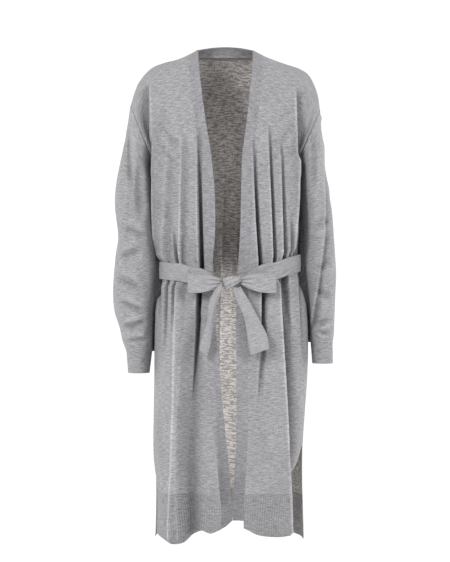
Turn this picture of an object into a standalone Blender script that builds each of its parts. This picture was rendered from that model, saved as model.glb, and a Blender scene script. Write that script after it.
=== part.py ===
"""Wrap cardigan: long, open fronted, drop shouldered, in fine knit, tied at the waist with a bow.

Frame: +Z up, the front faces -Y, +X is the wearer's left. The origin is level with the high
shoulder points, midway between front and back, where the shoulders carry the garment.
The tables below are in millimetres; a drop is a distance below the origin. Meshes are in metres.
"""

from collections import namedtuple
import math

import bpy
import numpy as np

METRE = 0.001

# Cloth and seams
KNIT = 2.0
BELT_CLOTH = 3.0
SEAM = 0.3
BAND = 24.0

# Levels
UNDERARM = 245.0
WAIST = 495.0
SLIT_TOP = 871.0
RIB_TOP = 975.0
HEM = 1084.0
BACK_HEM = 1082.0
BACK_RIB_TOP = 990.0

# Body outline, level by level: how far the sides, front and back reach, how square the outline
# is, and where the free edges of the two fronts lie across the figure
Level = namedtuple("Level", "drop side_right side_left front back square edge_right edge_left")
BODY = (
    Level(245, 168, 156, 118, 112, 2.5, -36, 30),
    Level(320, 165, 159, 124, 110, 2.5, -29, 28),
    Level(395, 159, 161, 119, 106, 2.5, -28, 26),
    Level(455, 155, 161, 113, 104, 2.5, -33, 22),
    Level(505, 154, 165, 112, 107, 2.5, -31, 19),
    Level(560, 158, 171, 114, 113, 2.5, -28, 18),
    Level(625, 161, 176, 119, 121, 2.6, -25, 17),
    Level(723, 162, 175, 126, 130, 2.7, -17, 18),
    Level(796, 163, 170, 129, 131, 2.8, -11, 18),
    Level(871, 164, 165, 131, 130, 2.8, -3, 17),
    Level(957, 161, 164, 132, 129, 2.9, 4, 12),
    Level(1000, 161, 165, 132, 129, 2.9, 6, 10),
    Level(1084, 163, 167, 132, 128, 2.9, 6, 10),
)

# The ring that the belt draws the body in to
Ring = namedtuple("Ring", "side_right side_left front back square")
WAIST_RING = Ring(148, 157, 100, 94, 2.5)
WAIST_FLAT = 25.0
WAIST_BLEND_UP = 60.0
WAIST_BLEND_DOWN = 75.0

# Below the slit tops each front swings clear of the back: how far in from the side its slit
# edge lies, and how far forward
Slit = namedtuple("Slit", "drop in_right forward_right in_left forward_left")
SLITS = (
    Slit(871, 0, 0, 0, 0),
    Slit(905, 0, 2, 6, 22),
    Slit(930, 2, 10, 14, 42),
    Slit(957, 6, 20, 20, 58),
    Slit(1020, 9, 30, 24, 70),
    Slit(1084, 10, 34, 26, 74),
)

# Shoulder seams, from the top of the armhole to the neck edge
Shoulder = namedtuple("Shoulder", "x_right drop_right x_left drop_left")
SHOULDERS = (
    Shoulder(-215, 130, 203, 140),
    Shoulder(-206, 100, 199, 110),
    Shoulder(-194, 74, 190, 83),
    Shoulder(-170, 48, 177, 61),
    Shoulder(-143, 36, 157, 48),
    Shoulder(-112, 28, 124, 37),
    Shoulder(-88, 18, 86, 23),
    Shoulder(-66, 6, 55, 7),
)
ARMHOLE_DEPTH = 62.0
ARMHOLE_REACH = 42.0
NECK_CURVE = 1.4
NECK_SWEEP = 1.5

# Back neck: how far behind the shoulders the seam and the free edge lie, and their drops there
NECK_SEAM_BACK = 72.0
NECK_SEAM_DROP = 16.0
NECK_EDGE_BACK = 62.0
NECK_EDGE_DROP = -7.0

# Centre line of the belt across the front
BeltLine = namedtuple("BeltLine", "x drop")
BELT_FRONT = (
    BeltLine(-162, 494),
    BeltLine(-101, 499),
    BeltLine(-72, 505),
    BeltLine(-37, 516),
    BeltLine(6, 521),
    BeltLine(38, 514),
    BeltLine(72, 502),
    BeltLine(112, 492),
    BeltLine(140, 482),
    BeltLine(171, 475),
)
BELT_WIDTH = 38.0
BELT_GAP = 0.8
KNOT_X = 6.0
BELT_AT_KNOT = 16.0
BELT_SPREAD = 30.0
SAG_FLAT = 40.0
SAG_BLEND = 160.0

# Lower edges of the fronts, across the figure
HemPoint = namedtuple("HemPoint", "x drop")
FRONT_HEM = (
    HemPoint(-165, 1068),
    HemPoint(-146, 1073),
    HemPoint(-120, 1084),
    HemPoint(-95, 1079),
    HemPoint(-76, 1061),
    HemPoint(-59, 1053),
    HemPoint(-38, 1059),
    HemPoint(-14, 1050),
    HemPoint(36, 1049),
    HemPoint(62, 1062),
    HemPoint(94, 1068),
    HemPoint(150, 1070),
)
BACK_HEM_LINE = (
    HemPoint(-163, 1080),
    HemPoint(-110, 1073),
    HemPoint(-55, 1060),
    HemPoint(6, 1054),
    HemPoint(60, 1062),
    HemPoint(112, 1077),
    HemPoint(167, 1086),
)
BAND_HEM_LEFT = 1031.0
BAND_HEM_RIGHT = 1040.0
BAND_RIB_MIDDLE = 1012.0

# Folds. Each runs down from one drop to another with its ridge at three places across the
# figure. It rises over one width, falls towards +X or -X, and evens out over the other width.
Fold = namedtuple("Fold", "top low x_top x_mid x_low rise fall before after start end to")
FRONT_FOLDS = (
    # Chest and waist, wearer's right front
    Fold(60, 475, -161, -159, -149, 10, 4, 20, 13, 0.6, 1.0, -1),
    Fold(225, 460, -129, -134, -136, 4, 3, 14, 12, 0.5, 0.7, 1),
    Fold(210, 480, -101, -103, -103, 5, 4, 13, 12, 0.6, 1.0, 1),
    Fold(205, 490, -70, -69, -68, 5, 10, 22, 18, 0.1, 1.0, 1),
    # Chest and waist, wearer's left front
    Fold(225, 475, 54, 60, 69, 4, 9, 18, 15, 0.0, 1.0, 1),
    Fold(205, 475, 86, 92, 101, 5, 9, 16, 14, 0.1, 1.0, 1),
    Fold(235, 475, 114, 116, 119, 3, 6, 12, 12, 0.2, 1.0, 1),
    Fold(235, 475, 148, 153, 152, 10, 4, 20, 13, 1.0, 1.0, 1),
    # Skirt, wearer's right front
    Fold(540, 900, -152, -157, -160, 9, 2, 20, 12, 1.0, 0.5, -1),
    Fold(535, 1095, -113, -118, -127, 9, 6, 30, 22, 0.8, 1.0, 1),
    Fold(535, 1095, -68, -88, -84, 4, 14, 20, 26, 1.0, 0.8, 1),
    # Skirt, wearer's left front
    Fold(540, 860, 164, 169, 162, 9, 2, 20, 12, 1.0, 0.5, 1),
    Fold(540, 830, 72, 66, 61, 3, 11, 16, 16, 1.0, 0.0, 1),
    Fold(545, 1095, 107, 122, 131, 8, 18, 26, 18, 0.8, 1.0, 1),
)
BACK_FOLDS = (
    Fold(230, 470, -128, -122, -116, 4, 6, 18, 15, 0.3, 1.0, -1),
    Fold(280, 475, -78, -74, -70, 4, 8, 20, 16, 0.1, 1.0, 1),
    Fold(310, 475, -22, -20, -19, 3, 7, 18, 16, 0.0, 1.0, -1),
    Fold(300, 475, 36, 34, 32, 4, 8, 20, 16, 0.1, 1.0, 1),
    Fold(225, 470, 104, 98, 92, 5, 7, 18, 16, 0.4, 1.0, -1),
    Fold(540, 1095, -112, -122, -130, 6, 10, 22, 18, 0.8, 1.0, -1),
    Fold(540, 1095, -66, -72, -80, 7, 12, 26, 22, 1.0, 0.9, 1),
    Fold(545, 990, -18, -22, -24, 5, 9, 22, 18, 1.0, 0.2, -1),
    Fold(540, 1095, 38, 46, 52, 7, 12, 26, 22, 0.9, 1.0, 1),
    Fold(540, 1095, 98, 106, 112, 6, 11, 22, 20, 1.0, 0.8, -1),
)
FOLD_STEP = 0.4
FOLD_EASE = 25.0
YOKE_FADE_FROM = 0.15
YOKE_FADE_OVER = 0.5

# Sleeves, ring by ring from the armhole to the top of the cuff: the outer and inner lines, half
# the depth, and how far forward the ring's middle lies
Cuff = namedtuple("Cuff", "x_out drop_out x_in drop_in depth forward")
SLEEVE_RIGHT = (
    Cuff(215, 130, 169.4, 245, 62, 0),
    Cuff(224, 183, 174, 266, 65, -3),
    Cuff(234, 235, 174, 292, 67, -6),
    Cuff(247, 300, 171, 325, 68, -8),
    Cuff(250, 352, 168.5, 362, 67, -8),
    Cuff(243, 418, 162, 422, 63, -7),
    Cuff(249, 465, 160, 468, 61, -6),
    Cuff(254, 535, 162, 537, 57, -3),
    Cuff(251, 582, 164, 582, 54, 0),
    Cuff(240, 617, 165, 617, 51, 3),
    Cuff(232, 648, 166, 648, 47, 6),
    Cuff(224, 672, 167, 672, 40, 8),
)
SLEEVE_LEFT = (
    Cuff(203, 140, 157.6, 245, 62, 0),
    Cuff(207, 190, 163.5, 268, 65, -3),
    Cuff(213, 242, 164, 295, 67, -6),
    Cuff(222, 312, 164, 330, 68, -8),
    Cuff(230, 362, 165, 370, 67, -8),
    Cuff(234, 415, 166, 418, 64, -7),
    Cuff(237, 460, 167, 462, 62, -6),
    Cuff(239, 505, 171, 507, 59, -4),
    Cuff(237, 550, 177, 550, 56, -2),
    Cuff(235, 600, 180, 600, 51, 2),
    Cuff(233, 630, 181, 630, 47, 5),
    Cuff(231, 652, 182, 652, 41, 7),
)
CUFF_RIGHT = Cuff(220, 719, 173, 719, 37, 10)
CUFF_LEFT = Cuff(231, 698, 186, 698, 37, 10)
CUFF_STEP = 1.5

# Bow: stations along the cloth from the knot outward, then back
BowStation = namedtuple("BowStation", "x y drop half")
LOOP_RIGHT = (
    BowStation(-13.5, -109, 521, 7),
    BowStation(-32, -107, 517, 14),
    BowStation(-58, -106, 511, 19),
    BowStation(-80, -107, 509, 20),
    BowStation(-87, -113, 513, 20),
    BowStation(-82, -120, 521, 20),
    BowStation(-58, -124, 523, 19),
    BowStation(-32, -121, 521, 14),
    BowStation(-13.5, -116, 521, 7),
)
LOOP_LEFT = (
    BowStation(28.6, -109, 518, 7),
    BowStation(46, -108, 519, 15),
    BowStation(70, -106, 521, 20),
    BowStation(97, -106, 520, 20),
    BowStation(104, -112, 521, 21),
    BowStation(98, -119, 522, 21),
    BowStation(70, -124, 521, 20),
    BowStation(46, -121, 519, 15),
    BowStation(28.6, -116, 518, 7),
)
# Free ends: the two long edges, station by station from the knot down
TailStation = namedtuple("TailStation", "x_right x_left drop y curl")
TAIL_RIGHT = (
    TailStation(-20, -11.2, 523, -122.6, 1),
    TailStation(-33, -15, 542, -130, 4),
    TailStation(-41, -24, 566, -134, 6),
    TailStation(-45, -31, 595, -137, 7),
    TailStation(-53, -35, 628, -140, 7),
    TailStation(-60, -38, 655, -143, 5),
    TailStation(-61, -46, 672, -144, 3),
)
TAIL_LEFT = (
    TailStation(8.5, 25, 532.6, -118.6, 1),
    TailStation(15, 33, 547, -125, 2),
    TailStation(21, 46, 565, -130, 3),
    TailStation(31, 57, 585, -134, 4),
    TailStation(37, 68, 613, -138, 4),
    TailStation(42, 80, 645, -141, 3),
    TailStation(47, 85, 672, -143, 2),
)
# Knot: its outline from the front, and how deep it is
KnotPoint = namedtuple("KnotPoint", "x drop")
KNOT = (
    KnotPoint(-12, 509),
    KnotPoint(6, 507),
    KnotPoint(26, 509),
    KnotPoint(28, 519),
    KnotPoint(13, 530),
    KnotPoint(-4, 538),
    KnotPoint(-11, 531),
    KnotPoint(-13, 519),
)
KNOT_BACK = -104.4
KNOT_FRONT = -127.0
KNOT_SWELL = (0.78, 1.0, 0.98, 0.62)

# Thread loops that carry the belt at the side seams
CARRIER_THREAD = 1.1
CARRIER_HALF = 30.0
CARRIER_OUT = 5.4
CARRIER_SEAT = 1.3

# Mesh density
YOKE_ROWS = 7
BODY_ROWS = (245, 320, 395, 440, 470, 520, 560, 625, 700, 780, 871, 925, 975)
RIB_ROWS = 2
FRONT_COLUMNS = 20
SHOULDER_COLUMNS = 8
NECK_COLUMNS = 10
BELT_COLUMNS = 64
CURVE_SAMPLES = 400
LINE_SAMPLES = 100
# Angles from the side seam between which a level is traced
TRACE_FROM = -10.0
TRACE_FRONT_TO = 130.0
TRACE_BACK_TO = 190.0
# Steps along and down the cloth over which its direction is taken
STEP_ALONG = 0.5
STEP_DOWN = 0.01
TAIL_COLUMNS = 5
CARRIER_STATIONS = 9
CARRIER_SQUARE = 4

KNIT_GREY = (0.36, 0.355, 0.365, 1.0)
RIB_GREY = (0.30, 0.297, 0.307, 1.0)
BELT_GREY = (0.37, 0.366, 0.374, 1.0)


def smooth(values, stations, at):
    """Smooth curve through the values at the rising stations."""
    values = np.asarray(values, float)
    stations = np.asarray(stations, float)
    slopes = np.gradient(values, stations)
    at = np.clip(at, stations[0], stations[-1])
    i = np.clip(np.searchsorted(stations, at) - 1, 0, len(stations) - 2)
    span = stations[i + 1] - stations[i]
    t = (at - stations[i]) / span
    start = values[i] * (1 + 2 * t) * (1 - t) ** 2 + slopes[i] * span * t * (1 - t) ** 2
    end = values[i + 1] * t * t * (3 - 2 * t) - slopes[i + 1] * span * t * t * (1 - t)
    return start + end


def column(table, name):
    """One named column of a table."""
    return [getattr(row, name) for row in table]


def ease(t):
    """Soft step from 0 to 1."""
    t = np.clip(t, 0.0, 1.0)
    return t * t * (3 - 2 * t)


def waist_pull(drop):
    """1 where the belt holds the cloth, 0 well above and below it."""
    away = drop - WAIST
    blend = WAIST_BLEND_UP if away < 0 else WAIST_BLEND_DOWN
    return 1 - ease((abs(away) - WAIST_FLAT) / blend)


def body_size(drop, name):
    """One measure of the body outline at a level."""
    loose = smooth(column(BODY, name), column(BODY, "drop"), drop)
    if not hasattr(WAIST_RING, name):
        return loose
    pull = waist_pull(drop)
    return (1 - pull) * loose + pull * getattr(WAIST_RING, name)


def belt_drop(x, face):
    """Drop of the belt's centre line at x, on the front (-1) or the back (1)."""
    first = BELT_FRONT[0]
    last = BELT_FRONT[-1]
    if face > 0:
        return np.interp(x, (first.x, last.x), (first.drop, last.drop))
    return smooth(column(BELT_FRONT, "drop"), column(BELT_FRONT, "x"), x)


def sagged(points, drop, face):
    """Lower a level's points so that the level follows the belt near the waist."""
    near = 1 - ease((abs(drop - WAIST) - SAG_FLAT) / SAG_BLEND)
    points[:, 2] -= near * (belt_drop(points[:, 0], face) - WAIST)
    return points


def fold_height(folds, x, drop):
    """How far the folds lift the cloth off its plain outline."""
    height = np.zeros_like(x)
    for fold in folds:
        along = np.clip((drop - fold.top) / (fold.low - fold.top), 0, 1)
        ridge = smooth((fold.x_top, fold.x_mid, fold.x_low), (0, 0.5, 1), along)
        strength = fold.start + (fold.end - fold.start) * along
        strength = strength * ease((drop - fold.top) / FOLD_EASE) * ease((fold.low - drop) / FOLD_EASE)
        away = (x - ridge) * fold.to
        step = FOLD_STEP * fold.after
        fallen = ease(away / step)
        shape = fold.rise * np.exp(-((np.minimum(away, 0) / fold.before) ** 2)) * (1 - fallen)
        shape = shape - fold.fall * fallen * np.exp(-((np.maximum(away - step, 0) / fold.after) ** 2))
        height = height + strength * shape
    return height


Piece = namedtuple("Piece", "face side sign folds")
FRONT_RIGHT = Piece(-1, -1, -1, FRONT_FOLDS)
FRONT_LEFT = Piece(-1, 1, 1, FRONT_FOLDS)
BACK = Piece(1, -1, 1, BACK_FOLDS)


def slit_offsets(piece, drop):
    """How far in and forward the piece's slit edge lies at a level."""
    if piece.face > 0 or drop <= SLIT_TOP:
        return 0.0, 0.0
    name = "right" if piece.side < 0 else "left"
    drops = column(SLITS, "drop")
    return (
        float(smooth(column(SLITS, "in_" + name), drops, drop)),
        float(smooth(column(SLITS, "forward_" + name), drops, drop)),
    )


def level_curve(piece, drop):
    """Outline of a panel at a level: points, and their distances along the cloth from the side seam."""
    own, other = ("side_right", "side_left") if piece.side < 0 else ("side_left", "side_right")
    inward, forward = slit_offsets(piece, drop)
    near_side = body_size(drop, own) - inward
    far_side = body_size(drop, other)
    near_face, far_face = ("front", "back") if piece.face < 0 else ("back", "front")
    depth = body_size(drop, near_face)
    other_depth = body_size(drop, far_face)
    power = 2 / body_size(drop, "square")
    last = TRACE_BACK_TO if piece.face > 0 else TRACE_FRONT_TO
    turn = np.radians(np.linspace(TRACE_FROM, last, CURVE_SAMPLES))
    c, s = np.cos(turn), np.sin(turn)
    across = np.where(c > 0, near_side, far_side) * np.sign(c) * np.abs(c) ** power
    out = np.where(s > 0, depth, other_depth) * np.sign(s) * np.abs(s) ** power
    x = across * piece.side
    y = out * piece.face
    length = np.concatenate(([0.0], np.cumsum(np.hypot(np.diff(x), np.diff(y)))))
    first_half = turn < math.pi / 2
    start = np.interp(forward, out[first_half], length[first_half])
    if piece.face > 0:
        end = np.interp(0, -out[~first_half], length[~first_half])
    else:
        edge = body_size(drop, "edge_right" if piece.side < 0 else "edge_left")
        end = np.interp(-edge * piece.side, -across, length)
    return x, y, length - start, end - start


def outline_points(piece, place, drop):
    """Points at the distances place(whole length) along a level, and the way out at each."""
    x, y, length, whole = level_curve(piece, drop)
    at = place(whole)
    points = np.stack([np.interp(at, length, x), np.interp(at, length, y), np.full(len(at), -drop)], 1)
    tangent_x = np.interp(at, length, np.gradient(x, length))
    tangent_y = np.interp(at, length, np.gradient(y, length))
    out = np.stack([tangent_y, -tangent_x], 1) * -piece.sign
    out = out / np.linalg.norm(out, axis=1, keepdims=True)
    return points, out, at, whole


def shoulder_line(side):
    """Shoulder seam from the armhole to the neck edge."""
    name = "right" if side < 0 else "left"
    rows = np.arange(len(SHOULDERS))
    at = np.linspace(0, len(SHOULDERS) - 1, LINE_SAMPLES)
    x = smooth(column(SHOULDERS, "x_" + name), rows, at)
    z = -smooth(column(SHOULDERS, "drop_" + name), rows, at)
    return np.stack([x, np.zeros_like(x), z], 1)


def lengths(line):
    """Distance along a line to each of its points."""
    return np.concatenate(([0.0], np.cumsum(np.linalg.norm(np.diff(line, axis=0), axis=1))))


def along(line, distance):
    """Points at distances along a line, which goes straight on past its ends."""
    before = 2 * line[0] - line[1]
    after = 2 * line[-1] - line[-2]
    longer = np.vstack([before, line, after])
    at = lengths(longer) - np.linalg.norm(before - line[0])
    return np.stack([np.interp(distance, at, longer[:, k]) for k in range(3)], 1)


def neck_arc(inset, back, drop):
    """Line round the back of the neck between points this far in from the two neck edges."""
    ends = []
    for side in (-1, 1):
        line = shoulder_line(side)
        ends.append(along(line, np.array([lengths(line)[-1] - inset]))[0])
    right, left = ends
    turn = np.linspace(math.pi, 0, LINE_SAMPLES)
    x = (right[0] + left[0]) / 2 + (left[0] - right[0]) / 2 * np.cos(turn)
    base = np.interp(x, (right[0], left[0]), (right[2], left[2]))
    z = base + (-drop - base) * np.sin(turn) ** NECK_SWEEP
    return np.stack([x, back * np.sin(turn), z], 1)


def top_line(piece):
    """Upper edge of a panel: the shoulder seam, and on the back the neck seam too."""
    if piece.face < 0:
        return shoulder_line(piece.side)
    parts = []
    for side in (-1, 1):
        line = shoulder_line(side)
        whole = lengths(line)[-1]
        part = along(line, np.linspace(0, whole - BAND, LINE_SAMPLES))
        parts.append(part if side < 0 else part[::-1])
    neck = neck_arc(BAND, NECK_SEAM_BACK, NECK_SEAM_DROP)
    return np.vstack([parts[0], neck[1:-1], parts[1]])


def surface(piece, place, v):
    """Points of one row of a panel. v is 0 at the shoulder, 1 at the underarm, and grows downward."""
    drop = UNDERARM * max(v, 1.0)
    low, out, at, whole = outline_points(piece, place, drop)
    if v >= 1:
        base = low
        fade = 1 - waist_pull(drop)
    else:
        line = top_line(piece)
        high = along(line, place(lengths(line)[-1]))
        away = np.minimum(at, whole - at) if piece.face > 0 else at
        near = np.exp(-((np.maximum(away, 0) / ARMHOLE_REACH) ** 2))
        quarter = math.pi / 2 * v
        down = (1 - near) * (1 - math.cos(quarter)) + near * (1 - math.cos(2 * quarter)) / 2
        sideways = down ** (NECK_CURVE + (1 - NECK_CURVE) * near)
        base = high + (low - high) * np.stack([sideways, np.full_like(down, math.sin(quarter)), down], 1)
        base[:, 1] += piece.face * near * ARMHOLE_DEPTH * math.sin(2 * quarter)
        base[:, 1] += piece.face * SEAM / 2
        fade = float(ease((v - YOKE_FADE_FROM) / YOKE_FADE_OVER)) * (1 - near)
    height = fade * fold_height(piece.folds, base[:, 0], -base[:, 2] if v < 1 else drop)
    base[:, :2] += out * np.reshape(height, (-1, 1))
    return sagged(base, drop, piece.face)


def row_values(drops):
    """Row parameters for a list of drops at or below the underarm."""
    return [drop / UNDERARM for drop in drops]


def panel_grid(piece, place, rows):
    """Outer points of a panel and its outward directions, row by row."""
    points = []
    normals = []
    for v in rows:
        points.append(surface(piece, place, v))
        down = surface(piece, place, v + STEP_DOWN) - surface(piece, place, max(v - STEP_DOWN, 0.0))
        on = surface(piece, lambda whole: place(whole) + STEP_ALONG, v)
        on = on - surface(piece, lambda whole: place(whole) - STEP_ALONG, v)
        normal = np.cross(on, down) * piece.sign
        normals.append(normal / np.linalg.norm(normal, axis=1, keepdims=True))
    return np.array(points), np.array(normals)


def grid_normals(points, closed=False):
    """Directions across a grid of points, from its own neighbours."""
    if closed:
        around = np.roll(points, -1, 1) - np.roll(points, 1, 1)
    else:
        around = np.gradient(points, axis=1)
    normal = np.cross(around, np.gradient(points, axis=0))
    return normal / np.linalg.norm(normal, axis=2, keepdims=True)


def cloth(name, outer, normals, thickness, colour, closed=False):
    """A wall of cloth: a grid of outer points, the same grid moved in, and the rims between them."""
    rows, columns = outer.shape[:2]
    inner = outer - normals * thickness
    points = np.concatenate([outer.reshape(-1, 3), inner.reshape(-1, 3)]) * METRE
    shift = rows * columns
    faces = []
    spans = columns if closed else columns - 1

    def corner(layer, r, c):
        return layer * shift + r * columns + c % columns

    for r in range(rows - 1):
        for c in range(spans):
            ring = [corner(0, r, c), corner(0, r + 1, c), corner(0, r + 1, c + 1), corner(0, r, c + 1)]
            faces.append(ring)
            faces.append([i + shift for i in reversed(ring)])
    for c in range(spans):
        faces.append([corner(0, 0, c), corner(0, 0, c + 1), corner(1, 0, c + 1), corner(1, 0, c)])
        low = rows - 1
        faces.append([corner(0, low, c + 1), corner(0, low, c), corner(1, low, c), corner(1, low, c + 1)])
    if not closed:
        for r in range(rows - 1):
            faces.append([corner(0, r + 1, 0), corner(0, r, 0), corner(1, r, 0), corner(1, r + 1, 0)])
            end = columns - 1
            faces.append([corner(0, r, end), corner(0, r + 1, end), corner(1, r + 1, end), corner(1, r, end)])
    return make_object(name, points, faces, colour)


def make_object(name, points, faces, colour):
    """One named object with its own material, its faces turned outward."""
    mesh = bpy.data.meshes.new(name)
    mesh.from_pydata([tuple(p) for p in points], [], faces)
    mesh.validate()
    mesh.update()
    material = bpy.data.materials.new(name)
    material.use_nodes = True
    shader = material.node_tree.nodes["Principled BSDF"]
    shader.inputs["Base Color"].default_value = colour
    shader.inputs["Roughness"].default_value = 0.9
    shader.inputs["Metallic"].default_value = 0.0
    mesh.materials.append(material)
    piece = bpy.data.objects.new(name, mesh)
    COLLECTION.objects.link(piece)
    if signed_volume(mesh) < 0:
        mesh.flip_normals()
    return piece


def signed_volume(mesh):
    """Volume of a closed mesh, negative if its faces point in."""
    mesh.calc_loop_triangles()
    total = 0.0
    for triangle in mesh.loop_triangles:
        a, b, c = (mesh.vertices[i].co for i in triangle.vertices)
        total += a.dot(b.cross(c)) / 6
    return total


def yoke_rows():
    """Rows from the shoulder to the underarm."""
    return [i / YOKE_ROWS for i in range(YOKE_ROWS)]


def front_place(gap):
    """Where a front's columns lie between its side seam and its band."""
    share = np.linspace(0, 1, FRONT_COLUMNS + 1)
    return lambda whole: SEAM / 2 + share * (whole - SEAM / 2 - BAND - gap)


def band_place(whole):
    """Where a front band's two edges lie."""
    return np.array([whole - BAND, whole])


def lower_edge(points, top, nominal, edge):
    """Stretch the rows below a level so that the last one follows a hem line."""
    drop = -points[:, :, 2]
    reach = edge - top
    points[:, :, 2] = -(top + (drop - top) * reach / (nominal - top))
    return points


def hem_line(table, x):
    """Drop of a lower edge at x."""
    return smooth(column(table, "drop"), column(table, "x"), x)


def make_fronts():
    """The two front panels with their hem ribs and bands."""
    rows = yoke_rows() + row_values(BODY_ROWS)
    rib_rows = row_values(np.linspace(RIB_TOP + SEAM, HEM, RIB_ROWS + 1))
    for side_name, piece, band_hem in (
        ("right", FRONT_RIGHT, BAND_HEM_RIGHT),
        ("left", FRONT_LEFT, BAND_HEM_LEFT),
    ):
        points, normals = panel_grid(piece, front_place(SEAM), rows)
        cloth("front_" + side_name, points, normals, KNIT, KNIT_GREY)
        points, normals = panel_grid(piece, front_place(2 * SEAM), rib_rows)
        lower_edge(points, RIB_TOP, HEM, hem_line(FRONT_HEM, points[:, :, 0]))
        cloth("front_" + side_name + "_hem_rib", points, normals, KNIT, RIB_GREY)
        points, normals = panel_grid(piece, band_place, rows + row_values([BAND_RIB_MIDDLE, band_hem]))
        cloth("band_" + side_name, points, normals, KNIT, RIB_GREY)


def back_place():
    """Columns of the back: along one shoulder, round the neck seam and along the other shoulder."""
    top = lengths(top_line(BACK))[-1]
    shoulder = (lengths(shoulder_line(-1))[-1] - BAND) / top
    other = 1 - (lengths(shoulder_line(1))[-1] - BAND) / top
    share = np.concatenate([
        np.linspace(0, shoulder, SHOULDER_COLUMNS, endpoint=False),
        np.linspace(shoulder, other, NECK_COLUMNS, endpoint=False),
        np.linspace(other, 1, SHOULDER_COLUMNS + 1),
    ])
    return lambda whole: SEAM / 2 + share * (whole - SEAM)


def make_back():
    """The back panel, its hem rib and the band round the neck."""
    place = back_place()
    rows = yoke_rows() + row_values(BODY_ROWS[:-1] + (BACK_RIB_TOP,))
    points, normals = panel_grid(BACK, place, rows)
    cloth("back", points, normals, KNIT, KNIT_GREY)
    make_neck_band(points[0, SHOULDER_COLUMNS:SHOULDER_COLUMNS + NECK_COLUMNS + 1])
    rib_rows = row_values(np.linspace(BACK_RIB_TOP + SEAM, BACK_HEM, RIB_ROWS + 1))
    points, normals = panel_grid(BACK, place, rib_rows)
    lower_edge(points, BACK_RIB_TOP, BACK_HEM, hem_line(BACK_HEM_LINE, points[:, :, 0]))
    cloth("back_hem_rib", points, normals, KNIT, RIB_GREY)


def make_neck_band(seam):
    """The band that stands on the back's neck seam, from one shoulder seam to the other."""
    edge = neck_arc(0.0, NECK_EDGE_BACK, NECK_EDGE_DROP)
    share = lengths(seam) / lengths(seam)[-1]
    whole = lengths(edge)[-1]
    free = along(edge, SEAM + share * (whole - 2 * SEAM))
    points = np.array([free, seam + (0, 0, SEAM)])
    points[:, 0, 1] += SEAM
    points[:, -1, 1] += SEAM
    cloth("band_back_neck", points, grid_normals(points), KNIT, RIB_GREY)


def sleeve_ring(ring, side, turns):
    """One ring of a sleeve, its outer line at turn 0 and its inner line at half a turn."""
    outer = np.array([ring.x_out * side, -ring.forward, -ring.drop_out])
    inner = np.array([ring.x_in * side, -ring.forward, -ring.drop_in])
    middle = (outer + inner) / 2
    half = (outer - inner) / 2
    deep = np.array([0.0, -ring.depth, 0.0])
    return middle + np.outer(np.cos(turns), half) + np.outer(np.sin(turns), deep)


def make_sleeves():
    """Sleeves from armhole to cuff, and the cuffs."""
    turns = np.linspace(0, 2 * math.pi, 2 * YOKE_ROWS, endpoint=False)
    for side_name, side, table, end in (
        ("right", -1, SLEEVE_RIGHT, CUFF_RIGHT),
        ("left", 1, SLEEVE_LEFT, CUFF_LEFT),
    ):
        rings = np.array([sleeve_ring(ring, side, turns) for ring in table])
        hole = rings[0, 0] - rings[0, YOKE_ROWS]
        away = np.array([hole[2], 0.0, -hole[0]]) / np.linalg.norm(hole)
        rings[0] += away * side * 3 * SEAM
        normals = grid_normals(rings, closed=True) * -side
        cloth("sleeve_" + side_name, rings, normals, KNIT, KNIT_GREY, closed=True)
        top = table[-1]
        top = top._replace(drop_out=top.drop_out + SEAM, drop_in=top.drop_in + SEAM)
        step = top._replace(x_out=top.x_out - CUFF_STEP, x_in=top.x_in + CUFF_STEP, depth=top.depth - CUFF_STEP)
        rings = np.array([sleeve_ring(ring, side, turns) for ring in (step, end)])
        normals = grid_normals(rings, closed=True) * -side
        cloth("cuff_" + side_name, rings, normals, KNIT, RIB_GREY, closed=True)


def belt_half(x, face):
    """Half the belt's width at x: it is gathered where it enters the knot."""
    if face > 0:
        return np.full_like(x, BELT_WIDTH / 2)
    away = np.abs(x - KNOT_X) - BELT_AT_KNOT
    return BELT_AT_KNOT / 2 + (BELT_WIDTH - BELT_AT_KNOT) / 2 * ease(away / BELT_SPREAD)


def make_belt():
    """The belt round the waist. It passes behind the knot."""
    turn = np.linspace(0, 2 * math.pi, BELT_COLUMNS, endpoint=False)
    c, s = np.cos(turn), np.sin(turn)
    power = 2 / WAIST_RING.square
    grow = BELT_GAP + BELT_CLOTH
    x = np.where(c > 0, WAIST_RING.side_left, WAIST_RING.side_right) + grow
    x = x * np.sign(c) * np.abs(c) ** power
    y = np.where(s > 0, WAIST_RING.back, WAIST_RING.front) + grow
    y = y * np.sign(s) * np.abs(s) ** power
    middle = np.where(s > 0, belt_drop(x, 1), belt_drop(x, -1))
    half = np.where(s > 0, belt_half(x, 1), belt_half(x, -1))
    rows = [np.stack([x, y, -(middle + half * k)], 1) for k in (-1, 0, 1)]
    points = np.array(rows)
    flat = points.copy()
    flat[:, :, 2] = np.array([1, 0, -1])[:, None]
    cloth("belt_waist", points, -grid_normals(flat, closed=True), BELT_CLOTH, BELT_GREY, closed=True)


def make_knot():
    """The knot of the bow, a soft block in front of the belt."""
    outline = np.array([(p.x, p.drop) for p in KNOT], float)
    centre = outline.mean(0)
    depths = np.linspace(KNOT_BACK, KNOT_FRONT, len(KNOT_SWELL))
    points = []
    for y, swell in zip(depths, KNOT_SWELL):
        for x, drop in centre + (outline - centre) * swell:
            points.append((x * METRE, y * METRE, -drop * METRE))
    n = len(KNOT)
    faces = [list(range(n)), list(range(len(points) - 1, len(points) - 1 - n, -1))]
    for layer in range(len(KNOT_SWELL) - 1):
        for i in range(n):
            a, b = layer * n + i, layer * n + (i + 1) % n
            faces.append([b, a, a + n, b + n])
    make_object("belt_knot", points, faces, BELT_GREY)


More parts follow.
